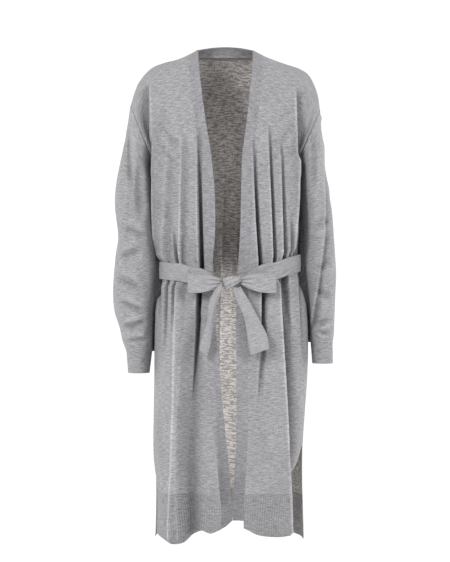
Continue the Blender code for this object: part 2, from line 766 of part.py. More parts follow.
def make_loops():
    """The two loops of the bow: cloth that leaves the knot, turns and comes back."""
    for side_name, side, table in (("right", -1, LOOP_RIGHT), ("left", 1, LOOP_LEFT)):
        stations = np.arange(len(table))
        at = np.linspace(0, len(table) - 1, 2 * len(table) - 1)
        x, y, drop, half = (smooth(column(table, name), stations, at) for name in BowStation._fields)
        rows = [np.stack([x, y, -(drop + half * k)], 1) for k in (-1, 0, 1)]
        points = np.array(rows).transpose(1, 0, 2)
        cloth("bow_loop_" + side_name, points, grid_normals(points) * -side, BELT_CLOTH, BELT_GREY)


def make_tails():
    """The two free ends, slightly curled across their width."""
    for side_name, table in (("right", TAIL_RIGHT), ("left", TAIL_LEFT)):
        rows = []
        for station in table:
            share = np.linspace(0, 1, TAIL_COLUMNS)
            x = station.x_right + (station.x_left - station.x_right) * share
            y = station.y - station.curl * np.sin(math.pi * share)
            rows.append(np.stack([x, y, np.full_like(x, -station.drop)], 1))
        points = np.array(rows)
        cloth("belt_tail_" + side_name, points, -grid_normals(points), BELT_CLOTH, BELT_GREY)


def make_carriers():
    """Thread loops over the belt at the side seams."""
    for side_name, side, reach, middle in (
        ("right", -1, WAIST_RING.side_right, BELT_FRONT[0].drop),
        ("left", 1, WAIST_RING.side_left, BELT_FRONT[-1].drop),
    ):
        curve = bpy.data.curves.new("belt_carrier_" + side_name, "CURVE")
        curve.dimensions = "3D"
        curve.bevel_depth = CARRIER_THREAD * METRE
        curve.bevel_resolution = 1
        curve.use_fill_caps = True
        spline = curve.splines.new("POLY")
        spline.points.add(CARRIER_STATIONS - 1)
        for i, point in enumerate(spline.points):
            t = i / (CARRIER_STATIONS - 1)
            out = (1 - abs(2 * t - 1) ** CARRIER_SQUARE) * CARRIER_OUT
            x = side * (reach + CARRIER_THREAD + CARRIER_SEAT + out)
            z = -(middle + CARRIER_HALF * (2 * t - 1))
            point.co = (x * METRE, 0.0, z * METRE, 1.0)
        guide = bpy.data.objects.new("carrier_curve", curve)
        COLLECTION.objects.link(guide)
        mesh = bpy.data.meshes.new_from_object(guide.evaluated_get(bpy.context.evaluated_depsgraph_get()))
        points = [v.co.copy() for v in mesh.vertices]
        faces = [list(p.vertices) for p in mesh.polygons]
        bpy.data.objects.remove(guide)
        bpy.data.curves.remove(curve)
        thread = make_object("belt_carrier_" + side_name, points, faces, BELT_GREY)
        weld = thread.modifiers.new("Weld", "WELD")
        weld.merge_threshold = 0.00005


for old in list(bpy.data.objects):
    bpy.data.objects.remove(old)

COLLECTION = bpy.data.collections.new("wrap_cardigan")
bpy.context.scene.collection.children.link(COLLECTION)

make_fronts()
make_back()
make_sleeves()
make_belt()
make_knot()
make_loops()
make_tails()
make_carriers()
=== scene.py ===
from collections import namedtuple
import math

import bpy
import numpy as np
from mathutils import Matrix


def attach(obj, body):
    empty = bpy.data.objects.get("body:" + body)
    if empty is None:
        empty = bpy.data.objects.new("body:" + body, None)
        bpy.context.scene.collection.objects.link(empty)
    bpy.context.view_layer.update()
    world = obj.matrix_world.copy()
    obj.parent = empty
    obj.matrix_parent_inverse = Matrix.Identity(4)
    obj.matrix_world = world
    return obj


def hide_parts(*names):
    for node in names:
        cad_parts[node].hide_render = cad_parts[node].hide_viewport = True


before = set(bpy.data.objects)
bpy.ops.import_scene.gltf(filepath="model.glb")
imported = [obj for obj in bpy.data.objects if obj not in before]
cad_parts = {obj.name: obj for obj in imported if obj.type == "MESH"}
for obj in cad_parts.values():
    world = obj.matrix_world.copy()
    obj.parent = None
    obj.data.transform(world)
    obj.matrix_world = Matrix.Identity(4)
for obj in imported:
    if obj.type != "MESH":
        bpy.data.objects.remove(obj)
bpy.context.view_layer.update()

METRE = 0.001
HORIZONTAL = np.array([1.0, 1.0, 0.0])
SEAM = 0.3
BAND = 24.0
KNIT = 1.6
WELD = 0.00002
SMOOTH_ANGLE = 65
FACES_APART = 17
UNDERARM = 245.0
WAIST = 495.0
SLIT_TOP = 871.0
BACK_RIB_TOP = 990.0
BACK_HEM = 1082.0


def rows_of(kind, *rows):
    """A table, each row of it with the column names of its kind."""
    return tuple(kind(*row) for row in rows)


Spot = namedtuple("Spot", "x drop")
Level = namedtuple("Level", "drop side_right side_left front back square edge_right edge_left")
BODY = rows_of(
    Level,
    (245, 168, 156, 118, 112, 2.5, -36, 30),
    (320, 165, 159, 124, 110, 2.5, -29, 28),
    (395, 159, 161, 119, 106, 2.5, -28, 26),
    (455, 155, 161, 113, 104, 2.5, -33, 22),
    (505, 154, 165, 112, 107, 2.5, -31, 19),
    (560, 158, 171, 114, 113, 2.5, -28, 18),
    (625, 161, 176, 119, 121, 2.6, -25, 17),
    (723, 162, 175, 126, 130, 2.7, -17, 18),
    (796, 163, 170, 129, 131, 2.8, -11, 18),
    (871, 164, 165, 131, 130, 2.8, -3, 17),
    (957, 161, 164, 132, 129, 2.9, 5, 12),
    (1000, 161, 165, 132, 129, 2.9, 8.6, 10.4),
    (1084, 163, 167, 132, 128, 2.9, 9.4, 9.9),
)
Ring = namedtuple("Ring", "side_right side_left front back square")
WAIST_RING = Ring(148, 157, 100, 94, 2.5)
WAIST_FLAT = 22.0
WAIST_BLEND_UP = 60.0
WAIST_BLEND_DOWN = 75.0
Slit = namedtuple("Slit", "drop in_right forward_right in_left forward_left")
SLITS = rows_of(
    Slit,
    (871, 0, 0, 0, 0),
    (888, 0, 1, 4, 12),
    (905, 0, 2, 8, 26),
    (930, 2, 10, 14, 42),
    (957, 6, 20, 20, 58),
    (1020, 9, 30, 24, 70),
    (1084, 10, 34, 26, 74),
)
Shoulder = namedtuple("Shoulder", "x_right drop_right x_left drop_left")
SHOULDERS = rows_of(
    Shoulder,
    (-215, 130, 203, 140),
    (-206, 100, 199, 110),
    (-194, 74, 190, 83),
    (-170, 48, 177, 61),
    (-143, 36, 157, 48),
    (-112, 28, 124, 37),
    (-88, 18, 86, 23),
    (-66, 6, 55, 7),
)
ARMHOLE_DEPTH = 62.0
ARMHOLE_REACH = 42.0
ARMHOLE_FLAT = 14.0
ARMHOLE_FADE = 70.0
YOKE_PLAIN = 0.12
YOKE_BLEND = 0.4
NECK_CURVE = 1.4
NECK_SWEEP = 1.5
NECK_SEAM_BACK = 72.0
NECK_SEAM_DROP = 16.0
NECK_EDGE_BACK = 62.0
NECK_EDGE_DROP = -7.0
BELT_FRONT = rows_of(
    Spot,
    (-162, 494),
    (-101, 499),
    (-72, 505),
    (-37, 516),
    (6, 521),
    (38, 514),
    (72, 502),
    (112, 492),
    (140, 482),
    (171, 475),
)
SAG_FLAT = 40.0
SAG_BLEND = 160.0
OVERLAP = 10
FRONT_TURN = 130
CURVE_SAMPLES = 700
LINE_SAMPLES = 160

# A fold runs from one drop to another. Its ridge rises over one width, drops over a narrow step
# towards +X or -X, and evens out over the last width.
Fold = namedtuple("Fold", "top low x_top x_mid x_low rise fall before step after start end to")
BACK_FOLDS = rows_of(
    Fold,
    (180, 510, -160, -158, -152, 13, 4, 22, 5, 14, 0.4, 1.0, -1),
    (180, 510, 150, 153, 150, 13, 4, 22, 5, 14, 0.4, 1.0, 1),
    (150, 510, -134, -124, -116, 4, 9, 20, 6, 16, 0.2, 1.0, -1),
    (250, 510, -98, -94, -90, 2, 6, 14, 5, 12, 0.0, 1.0, 1),
    (190, 510, -72, -68, -62, 4, 10, 22, 6, 18, 0.1, 1.0, 1),
    (300, 510, -34, -36, -38, 2, 6, 14, 5, 12, 0.0, 1.0, -1),
    (240, 510, -8, -12, -14, 3, 8, 20, 6, 16, 0.0, 1.0, 1),
    (290, 510, 18, 20, 22, 2, 7, 14, 5, 12, 0.0, 1.0, 1),
    (200, 510, 52, 46, 44, 4, 10, 22, 6, 18, 0.1, 1.0, -1),
    (280, 510, 76, 74, 74, 2, 6, 14, 5, 12, 0.0, 1.0, -1),
    (140, 510, 118, 108, 100, 4, 10, 20, 6, 16, 0.2, 1.0, -1),
    (330, 510, 128, 130, 131, 2, 6, 12, 5, 11, 0.0, 1.0, 1),
    (474, 700, -136, -140, -144, 3, 7, 12, 5, 12, 1.0, 0.0, -1),
    (474, 1095, -108, -120, -130, 7, 11, 26, 8, 22, 0.8, 1.0, -1),
    (474, 760, -88, -92, -96, 3, 8, 12, 5, 12, 1.0, 0.0, 1),
    (474, 1095, -62, -70, -80, 8, 13, 30, 9, 26, 1.0, 0.9, 1),
    (474, 900, -36, -40, -42, 3, 8, 14, 5, 16, 1.0, 0.0, -1),
    (474, 1010, -14, -20, -24, 5, 10, 24, 7, 20, 1.0, 0.2, -1),
    (474, 720, 8, 8, 8, 2, 7, 12, 5, 12, 1.0, 0.0, 1),
    (474, 1095, 36, 46, 52, 8, 13, 30, 9, 26, 0.9, 1.0, 1),
    (474, 800, 66, 72, 78, 3, 8, 12, 5, 14, 1.0, 0.0, 1),
    (474, 1095, 94, 104, 112, 7, 12, 24, 8, 22, 1.0, 0.8, -1),
    (474, 690, 126, 130, 134, 3, 7, 12, 5, 12, 1.0, 0.0, 1),
)
FOLD_EASE = 22.0
PINCHED = 8.0
DEEP = 16.0
CREST = 2.0
CREST_RISE = 2.2
# How much painted shade darkens the bottom of a pinched fold, and how much painted highlight brightens its
# crest
PINCH_SHADE = 0.86
CREST_HIGHLIGHT = 0.24
# How much painted highlight brightens each front's free edge below the slit top
EDGE_HIGHLIGHT = 0.25
RIDGE_FLAT = 19.0
RIDGE_BLEND = 16.0
# How much painted shade darkens a crease's trough, and painted highlight brightens its lip
CREASE_SHADE = 0.04
CREASE_END = 0.35
CREASE_LIP = 0.6
LIP_PLACE = 1.7
# A crease is a soft trough between two places on the panel, with a lip along one side
Crease = namedtuple("Crease", "x_from drop_from x_to drop_to width depth")
BACK_CREASES = rows_of(
    Crease,
    (-150, 150, -96, 210, 9, 2.5),
    (-152, 190, -104, 262, 8, 2.2),
    (140, 158, 88, 226, 9, 2.6),
    (142, 205, 100, 286, 8, 2.0),
    (-70, 96, 62, 92, 13, 1.8),
    (-120, 640, -84, 700, 12, 1.8),
    (70, 620, 96, 720, 12, 1.8),
)


def smooth(values, stations, at):
    values = np.asarray(values, float)
    stations = np.asarray(stations, float)
    slopes = np.gradient(values, stations)
    at = np.clip(at, stations[0], stations[-1])
    i = np.clip(np.searchsorted(stations, at) - 1, 0, len(stations) - 2)
    span = stations[i + 1] - stations[i]
    t = (at - stations[i]) / span
    start = values[i] * (1 + 2 * t) * (1 - t) ** 2 + slopes[i] * span * t * (1 - t) ** 2
    end = values[i + 1] * t * t * (3 - 2 * t) - slopes[i + 1] * span * t * t * (1 - t)
    return start + end


def column(table, name):
    return [getattr(row, name) for row in table]


def along_table(table, count, names=None):
    """Places evenly spread over a table's rows, and the smooth value of each column there."""
    at = np.linspace(0, len(table) - 1, count)
    stations = np.arange(len(table))
    return at, [smooth(column(table, name), stations, at) for name in names or table[0]._fields]


def ease(t):
    t = np.clip(t, 0.0, 1.0)
    return t * t * (3 - 2 * t)


def squared(turn, power):
    return np.sign(turn) * np.abs(turn) ** power


def unit(vectors):
    return vectors / np.linalg.norm(vectors, axis=-1, keepdims=True)


def named(side):
    return "right" if side < 0 else "left"


def waist_pull(drop):
    away = drop - WAIST
    blend = WAIST_BLEND_UP if away < 0 else WAIST_BLEND_DOWN
    return 1 - ease((abs(away) - WAIST_FLAT) / blend)


def body_size(drop, name):
    loose = smooth(column(BODY, name), column(BODY, "drop"), drop)
    if not hasattr(WAIST_RING, name):
        return loose
    pull = waist_pull(drop)
    return (1 - pull) * loose + pull * getattr(WAIST_RING, name)


def belt_drop(x, face):
    first, last = BELT_FRONT[0], BELT_FRONT[-1]
    if face > 0:
        return np.interp(x, (first.x, last.x), (first.drop, last.drop))
    return smooth(column(BELT_FRONT, "drop"), column(BELT_FRONT, "x"), x)


def fold_height(folds, x, drop):
    """Height of the folds, and the shade painted on the cloth for them: painted shade deep down in a
    pinched fold, and a painted highlight along each crest."""
    height = np.zeros_like(x)
    shade = np.ones_like(x)
    for fold in folds:
        along = np.clip((drop - fold.top) / (fold.low - fold.top), 0, 1)
        ridge = smooth((fold.x_top, fold.x_mid, fold.x_low), (0, 0.5, 1), along)
        strength = fold.start + (fold.end - fold.start) * along
        strength = strength * ease((drop - fold.top) / FOLD_EASE) * ease((fold.low - drop) / FOLD_EASE)
        away = (x - ridge) * fold.to
        fallen = ease(away / fold.step)
        shape = fold.rise * np.exp(-((np.minimum(away, 0) / fold.before) ** 2)) * (1 - fallen)
        steep = 4 if fold.after < PINCHED else 2
        valley = np.exp(-((np.maximum(away - fold.step, 0) / fold.after) ** steep))
        height = height + strength * (shape - fold.fall * fallen * valley)
        # Painted shade deep down in a pinched fold, and a painted highlight along its crest
        dark = fallen * valley * min(fold.fall / DEEP, 1) * min(PINCHED / fold.after, 1)
        crest = np.exp(-(((away + CREST / 2) / CREST) ** 2)) * min(fold.rise / CREST_RISE, 1)
        shade = shade * (1 - PINCH_SHADE * strength * dark) * (1 + CREST_HIGHLIGHT * strength * crest)
    return height, shade


def crease_height(creases, x, drop):
    height = np.zeros_like(x)
    for crease in creases:
        run_x = crease.x_to - crease.x_from
        run_drop = crease.drop_to - crease.drop_from
        length = math.hypot(run_x, run_drop)
        along = ((x - crease.x_from) * run_x + (drop - crease.drop_from) * run_drop) / length**2
        aside = ((x - crease.x_from) * run_drop - (drop - crease.drop_from) * run_x) / length
        ends = ease(along / CREASE_END) * ease((1 - along) / CREASE_END)
        trough = np.exp(-((aside / crease.width) ** 2))
        shoulder = np.exp(-(((aside - LIP_PLACE * crease.width) / crease.width) ** 2))
        height = height + ends * crease.depth * (CREASE_LIP * shoulder - trough)
    return height


Panel = namedtuple("Panel", "face side sign folds creases")
BACK = Panel(1, -1, 1, BACK_FOLDS, BACK_CREASES)


def slit_offsets(panel, drop):
    if panel.face > 0 or drop <= SLIT_TOP:
        return 0.0, 0.0
    names = ("in_" + named(panel.side), "forward_" + named(panel.side))
    return [float(smooth(column(SLITS, name), column(SLITS, "drop"), drop)) for name in names]


def level_curve(panel, drop):
    inward, forward = slit_offsets(panel, drop)
    near_side = body_size(drop, "side_" + named(panel.side)) - inward
    far_side = body_size(drop, "side_" + named(-panel.side))
    near_face, far_face = ("front", "back") if panel.face < 0 else ("back", "front")
    depth = body_size(drop, near_face)
    other_depth = body_size(drop, far_face)
    power = 2 / body_size(drop, "square")
    turn = np.radians(np.linspace(-OVERLAP, 180 + OVERLAP if panel.face > 0 else FRONT_TURN, CURVE_SAMPLES))
    c, s = np.cos(turn), np.sin(turn)
    across = np.where(c > 0, near_side, far_side) * squared(c, power)
    out = np.where(s > 0, depth, other_depth) * squared(s, power)
    x = across * panel.side
    y = out * panel.face
    length = np.concatenate(([0.0], np.cumsum(np.hypot(np.diff(x), np.diff(y)))))
    first_half = turn < math.pi / 2
    start = np.interp(forward, out[first_half], length[first_half])
    if panel.face > 0:
        end = np.interp(0, -out[~first_half], length[~first_half])
    else:
        edge = body_size(drop, "edge_" + named(panel.side))
        end = np.interp(-edge * panel.side, -across, length)
    return x, y, length - start, end - start


def outline_points(panel, place, drop):
    x, y, length, whole = level_curve(panel, drop)
    at = place(whole)
    points = np.stack([np.interp(at, length, x), np.interp(at, length, y), np.full(len(at), -drop)], 1)
    run_x, run_y = (np.interp(at, length, np.gradient(line, length)) for line in (x, y))
    out = np.stack([run_y, -run_x], 1) * -panel.sign
    return points, unit(out), at, whole


def lengths(line):
    return np.concatenate(([0.0], np.cumsum(np.linalg.norm(np.diff(line, axis=0), axis=1))))


def along_line(line, distance):
    longer = np.vstack([2 * line[0] - line[1], line, 2 * line[-1] - line[-2]])
    at = lengths(longer) - np.linalg.norm(line[1] - line[0])
    return np.stack([np.interp(distance, at, longer[:, k]) for k in range(3)], 1)


def shoulder_line(side):
    names = ("x_" + named(side), "drop_" + named(side))
    x, drop = along_table(SHOULDERS, LINE_SAMPLES, names)[1]
    return np.stack([x, np.zeros_like(x), -drop], 1)


def neck_arc(inset, back, drop):
    ends = []
    for side in (-1, 1):
        line = shoulder_line(side)
        ends.append(along_line(line, np.array([lengths(line)[-1] - inset]))[0])
    right, left = ends
    turn = np.linspace(math.pi, 0, LINE_SAMPLES)
    x = (right[0] + left[0]) / 2 + (left[0] - right[0]) / 2 * np.cos(turn)
    base = np.interp(x, (right[0], left[0]), (right[2], left[2]))
    z = base + (-drop - base) * np.sin(turn) ** NECK_SWEEP
    return np.stack([x, back * np.sin(turn), z], 1)


def top_line(panel):
    if panel.face < 0:
        return shoulder_line(panel.side)
    parts = []
    for side in (-1, 1):
        line = shoulder_line(side)
        part = along_line(line, np.linspace(0, lengths(line)[-1] - BAND, LINE_SAMPLES))
        parts.append(part if side < 0 else part[::-1])
    neck = neck_arc(BAND, NECK_SEAM_BACK, NECK_SEAM_DROP)
    return np.vstack([parts[0], neck[1:-1], parts[1]])


def surface(panel, place, v):
    drop = UNDERARM * max(v, 1.0)
    low, out, at, whole = outline_points(panel, place, drop)
    held = waist_pull(drop)
    flat = 1.0
    base = low
    if v < 1:
        line = top_line(panel)
        high = along_line(line, place(lengths(line)[-1]))
        away = np.maximum(np.minimum(at, whole - at) if panel.face > 0 else at, 0)
        near = np.exp(-((away / ARMHOLE_REACH) ** 2))
        quarter = math.pi / 2 * v
        down = (1 - near) * (1 - math.cos(quarter)) + near * (1 - math.cos(2 * quarter)) / 2
        sideways = down ** (NECK_CURVE + (1 - NECK_CURVE) * near)
        base = high + (low - high) * np.stack([sideways, np.full_like(down, math.sin(quarter)), down], 1)
        base[:, 1] += panel.face * (near * ARMHOLE_DEPTH * math.sin(2 * quarter) + SEAM / 2)
        flat = float(ease((v - YOKE_PLAIN) / YOKE_BLEND))
        out = out * v * v + np.array([0.0, panel.face]) * (1 - v * v)
        out = unit(out)
    level = -base[:, 2] if v < 1 else drop
    from_seam = np.minimum(at, whole - at) if panel.face > 0 else at
    plain = np.exp(-((np.maximum(from_seam, 0) / ARMHOLE_FLAT) ** 2))
    flat = flat * (1 - plain * float(1 - ease((drop - UNDERARM) / ARMHOLE_FADE)))
    height, shade = fold_height(panel.folds, base[:, 0], level)
    pressed = 1 - ease((abs(drop - WAIST) - RIDGE_FLAT) / RIDGE_BLEND)
    height = np.where(height > 0, height * (1 - pressed), height)
    creased = crease_height(panel.creases, base[:, 0], -base[:, 2]) * (1 - held)
    height = height + creased
    # The folds' painted shade and highlight fade out where the cloth lies plain, and each crease adds
    # painted shade in its trough and a painted highlight on its lip
    shade = (1 + (shade - 1) * flat) * (1 + CREASE_SHADE * creased)
    # A painted highlight along each front's free edge below the slit top
    if panel.face < 0 and drop > SLIT_TOP:
        shade = shade * (1 + EDGE_HIGHLIGHT * np.exp(-((at / CREST) ** 2)))
    base[:, :2] += out * np.reshape(height * flat, (-1, 1))
    near_belt = 1 - ease((abs(drop - WAIST) - SAG_FLAT) / SAG_BLEND)
    base[:, 2] -= near_belt * (belt_drop(base[:, 0], panel.face) - WAIST)
    return np.column_stack([base, shade])


def panel_rows(low, step=5.0, yoke=54):
    """Row parameters from the shoulder to a level, closer together than the eye can tell."""
    below = np.arange(UNDERARM, low, step)
    return list(np.arange(yoke) / yoke) + list(below / UNDERARM) + [low / UNDERARM]


def widths(points):
    """How far along the cloth of its row each point is, counted from the middle column."""
    steps = np.linalg.norm(np.diff(points, axis=1), axis=2)
    across = np.concatenate([np.zeros((len(points), 1)), np.cumsum(steps, 1)], 1)
    middle = points.shape[1] // 2
    return across - across[:, middle:middle + 1]


def read_mesh(mesh):
    """The places of a mesh's vertices, and the vertex at each corner of its faces."""
    places = np.empty(len(mesh.vertices) * 3)
    mesh.vertices.foreach_get("co", places)
    corners = np.empty(len(mesh.loops), dtype=np.int64)
    mesh.loops.foreach_get("vertex_index", corners)
    return places.reshape(-1, 3), corners


def place_mesh(mesh, points, shade, chart):
    """Moves a mesh's vertices, and gives each its painted shade and each corner its place on the cloth."""
    mesh.vertices.foreach_set("co", (points * METRE).ravel())
    mesh.attributes.new("shade", "FLOAT", "POINT").data.foreach_set("value", shade)
    mesh.uv_layers[0].data.foreach_set("uv", (chart * METRE).ravel())
    mesh.update()


def lay_cloth(
    node, points, outward, outside, inside, wall=KNIT, closed=False,
):
    """Lays a grid sheet on points worked out row by row, gives it its UV map in metres of cloth
    along and down, turns its faces out, gives it its wall with a material on each side, names it
    after its node, hangs it on the root body and hides the frame's own part of that node."""
    rows, columns = points.shape[:2]
    # A fourth column, where there is one, holds the painted shade and highlight of each point
    shade = points[:, :, 3] if points.shape[2] > 3 else np.ones((rows, columns))
    points = points[:, :, :3]
    bpy.ops.object.select_all(action="DESELECT")
    bpy.ops.mesh.primitive_grid_add(x_subdivisions=columns - 1, y_subdivisions=rows - 1, size=1.0)
    piece = bpy.context.object
    mesh = piece.data
    piece.name = mesh.name = node + "_cloth"
    places, corner = read_mesh(mesh)
    c = np.rint((places[:, 0] + 0.5) * (columns - 1)).astype(int)
    r = np.rint((0.5 - places[:, 1]) * (rows - 1)).astype(int)
    across = widths(points)
    row_steps = np.linalg.norm(np.diff(points, axis=0), axis=2).mean(1)
    down = np.concatenate([[0.0], np.cumsum(row_steps)])
    chart = np.stack([across[r[corner], c[corner]], -down[r[corner]]], 1)
    place_mesh(mesh, points[r, c], shade[r, c], chart)
    tested = list(mesh.polygons)[::FACES_APART]
    if sum(np.dot(face.normal, outward(np.array(face.center) / METRE)) for face in tested) < 0:
        mesh.flip_normals()
    if closed:
        weld = piece.modifiers.new("close", "WELD")
        weld.merge_threshold = WELD
        bpy.ops.object.modifier_apply(modifier="close")
    mesh.materials.append(outside)
    mesh.materials.append(inside)
    wall_mod = piece.modifiers.new("cloth", "SOLIDIFY")
    wall_mod.thickness = wall * METRE
    wall_mod.offset = -1.0
    wall_mod.material_offset = 1
    bpy.ops.object.modifier_apply(modifier="cloth")
    bpy.ops.object.shade_smooth_by_angle(angle=math.radians(SMOOTH_ANGLE))
    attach(piece, "root")
    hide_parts(node)


def from_body(point):
    return point * HORIZONTAL


def add_node(tree, kind, settings=(), **values):
    made = tree.nodes.new("ShaderNode" + kind)
    for key, value in dict(settings).items():
        setattr(made, key, value)
    for key, value in values.items():
        socket = made.inputs[int(key[1:])] if key[1:].isdigit() else made.inputs[key.replace("_", " ")]
        if isinstance(value, bpy.types.NodeSocket):
            tree.links.new(value, socket)
        else:
            socket.default_value = value
    return made.outputs


def math_node(tree, operation, a, b=0.0, c=0.0):
    return add_node(tree, "Math", {"operation": operation}, i0=a, i1=b, i2=c)[0]


def vector_node(tree, operation, a, b):
    return add_node(tree, "VectorMath", {"operation": operation}, i0=a, i1=b)[0]


def blend_node(tree, share, a, b, blend="MIX"):
    return add_node(tree, "Mix", {"data_type": "RGBA", "blend_type": blend}, i0=share, i6=a, i7=b)[2]


def grey_node(tree, value):
    return add_node(tree, "CombineColor", i0=value, i1=value, i2=value)[0]


def range_node(tree, value, low, high, settings=()):
    return add_node(tree, "MapRange", settings, i0=value, i1=low, i2=high)[0]


def new_material(name, roughness):
    material = bpy.data.materials.new(name)
    material.use_nodes = True
    shader = material.node_tree.nodes["Principled BSDF"]
    shader.inputs["Roughness"].default_value = roughness
    return material, material.node_tree, shader.inputs


def new_group(name, inputs, outputs):
    group = bpy.data.node_groups.new(name, "ShaderNodeTree")
    for socket, kind, value in inputs:
        made = group.interface.new_socket(socket, in_out="INPUT", socket_type=kind)
        if value is not None:
            made.default_value = value
    for socket, kind in outputs:
        group.interface.new_socket(socket, in_out="OUTPUT", socket_type=kind)
    return group, group.nodes.new("NodeGroupInput").outputs, group.nodes.new("NodeGroupOutput").inputs


def spread(tree, place, along, down, detail=2.0, low=0.36, high=0.64):
    """Noise stretched along the courses, as a 0 to 1 value."""
    scaled = vector_node(tree, "MULTIPLY", place, (along, down, 1.0))
    flat = {"noise_dimensions": "2D"}
    noise = add_node(tree, "TexNoise", flat, Vector=scaled, Scale=1.0, Detail=detail)[0]
    return range_node(tree, noise, low, high)


# Marled yarn: each course is one thread whose light and dark lengths make fine broken streaks
marl, given, put = new_group(
    "marl",
    [("Place", "NodeSocketVector", None), ("Light", "NodeSocketColor", (0.5, 0.5, 0.5, 1)),
     ("Dark", "NodeSocketColor", (0.3, 0.3, 0.3, 1)), ("Tint", "NodeSocketColor", (0.4, 0.4, 0.38, 1)),
     ("Low", "NodeSocketFloat", 0.15), ("High", "NodeSocketFloat", 0.85)],
    [("Colour", "NodeSocketColor"), ("Height", "NodeSocketFloat")],
)
flat = {"noise_dimensions": "2D"}
sway = add_node(marl, "TexNoise", flat, Vector=given["Place"], Scale=24.0, Detail=1.0)[0]
sway = math_node(marl, "MULTIPLY", math_node(marl, "SUBTRACT", sway, 0.5), 0.006)
lift = add_node(marl, "CombineXYZ", Y=sway)[0]
swayed = vector_node(marl, "ADD", given["Place"], lift)
long_streak = spread(marl, swayed, 60.0, 560.0)
short_streak = spread(marl, swayed, 130.0, 700.0)
fleck = spread(marl, given["Place"], 330.0, 420.0, 1.0)
cloud = spread(marl, given["Place"], 9.0, 14.0)
total = math_node(marl, "MULTIPLY", long_streak, 0.42)
for part, weight in ((short_streak, 0.26), (fleck, 0.24), (cloud, 0.08)):
    total = math_node(marl, "MULTIPLY_ADD", part, weight, total)
parted = range_node(marl, total, given["Low"], given["High"])
yarn = blend_node(marl, parted, given["Dark"], given["Light"])
warm = math_node(marl, "MULTIPLY", spread(marl, given["Place"], 5.0, 3.0, 1.0, 0.45, 0.75), 0.35)
marl.links.new(blend_node(marl, warm, yarn, given["Tint"], "MULTIPLY"), put["Colour"])
marl.links.new(total, put["Height"])

# Jersey stitches: columns of small Vs, one wale wide and one course high
stitches, given, put = new_group(
    "stitches",
    [("Place", "NodeSocketVector", None), ("Wale", "NodeSocketFloat", 0.0016),
     ("Course", "NodeSocketFloat", 0.0013)],
    [("Height", "NodeSocketFloat")],
)
axes = add_node(stitches, "SeparateXYZ", Vector=given["Place"])
wale = math_node(stitches, "DIVIDE", axes["X"], given["Wale"])
inside = math_node(stitches, "SUBTRACT", math_node(stitches, "FRACT", wale), 0.5)
inside = math_node(stitches, "ABSOLUTE", inside)
course = math_node(stitches, "DIVIDE", axes["Y"], given["Course"])
leaning = math_node(stitches, "ADD", course, inside)
loop = math_node(stitches, "SINE", math_node(stitches, "MULTIPLY", leaning, 2 * math.pi))
groove = math_node(stitches, "SINE", math_node(stitches, "MULTIPLY", inside, math.pi))
stitch = math_node(stitches, "MULTIPLY", math_node(stitches, "MULTIPLY_ADD", loop, 0.25, 0.75), groove)
stitches.links.new(stitch, put["Height"])

# Ribs: upright ridges of the given pitch, as a value that is 1 on the ridges and 0 in the grooves between
# them
ribs, given, put = new_group(
    "ribs",
    [("Place", "NodeSocketVector", None), ("Pitch", "NodeSocketFloat", 0.0057)],
    [("Ridge", "NodeSocketFloat")],
)
axes = add_node(ribs, "SeparateXYZ", Vector=given["Place"])
part = math_node(ribs, "FRACT", math_node(ribs, "DIVIDE", axes["X"], given["Pitch"]))
part = math_node(ribs, "ABSOLUTE", math_node(ribs, "SUBTRACT", part, 0.5))
ridge = range_node(ribs, part, 0.5, 0.12, {"interpolation_type": "SMOOTHSTEP"})
ribs.links.new(ridge, put["Ridge"])


def knit_material(name, light, dark, tint, pitch=0.0, groove=0.0, bump=0.35, grain=1.0, parting=0.35):
    """Marled knit of two yarn colours, times the painted shade and highlight stored on each piece. A
    pitch gives it upright ribs or wales, a groove paints shade into the grooves between them, the
    grain is the fineness of its streaks, and a small parting sets its yarns far apart."""
    material, tree, shader = new_material(name, 0.88)
    place = add_node(tree, "UVMap", {"uv_map": "UVMap"})[0]
    sized = vector_node(tree, "MULTIPLY", place, (1.0, grain, 1.0))
    tones = {"Light": (*light, 1), "Dark": (*dark, 1), "Tint": (*tint, 1)}
    part = {"Low": 0.5 - parting, "High": 0.5 + parting}
    yarn = add_node(tree, "Group", {"node_tree": marl}, Place=sized, **tones, **part)
    stitch = add_node(tree, "Group", {"node_tree": stitches}, Place=place)[0]
    # The painted shade and highlight stored on the piece, multiplied into the yarn colour
    painted_shade = grey_node(tree, add_node(tree, "Attribute", {"attribute_name": "shade"})["Fac"])
    colour = blend_node(tree, 1.0, yarn["Colour"], painted_shade, "MULTIPLY")
    height = math_node(tree, "MULTIPLY_ADD", stitch, 0.5, yarn["Height"])
    if pitch:
        ridge = add_node(tree, "Group", {"node_tree": ribs}, Place=place, Pitch=pitch)[0]
        # Painted shade in the grooves between the ribs
        painted_groove_shade = grey_node(tree, math_node(tree, "MULTIPLY_ADD", ridge, groove, 1 - groove))
        colour = blend_node(tree, 1.0, colour, painted_groove_shade, "MULTIPLY")
        height = math_node(tree, "MULTIPLY_ADD", ridge, 1.2, height)
    tree.links.new(colour, shader["Base Color"])
    shader["Specular IOR Level"].default_value = 0.2
    shader["Sheen Weight"].default_value = 0.16
    shader["Sheen Roughness"].default_value = 0.4
    wrinkle = spread(tree, place, 20.0, 62.0, 1.5)
    ripple = add_node(tree, "Bump", Strength=0.30, Distance=0.0045, Height=wrinkle)[0]
    raised = add_node(tree, "Bump", Strength=bump, Distance=0.0008, Height=height, Normal=ripple)[0]
    tree.links.new(raised, shader["Normal"])
    return material


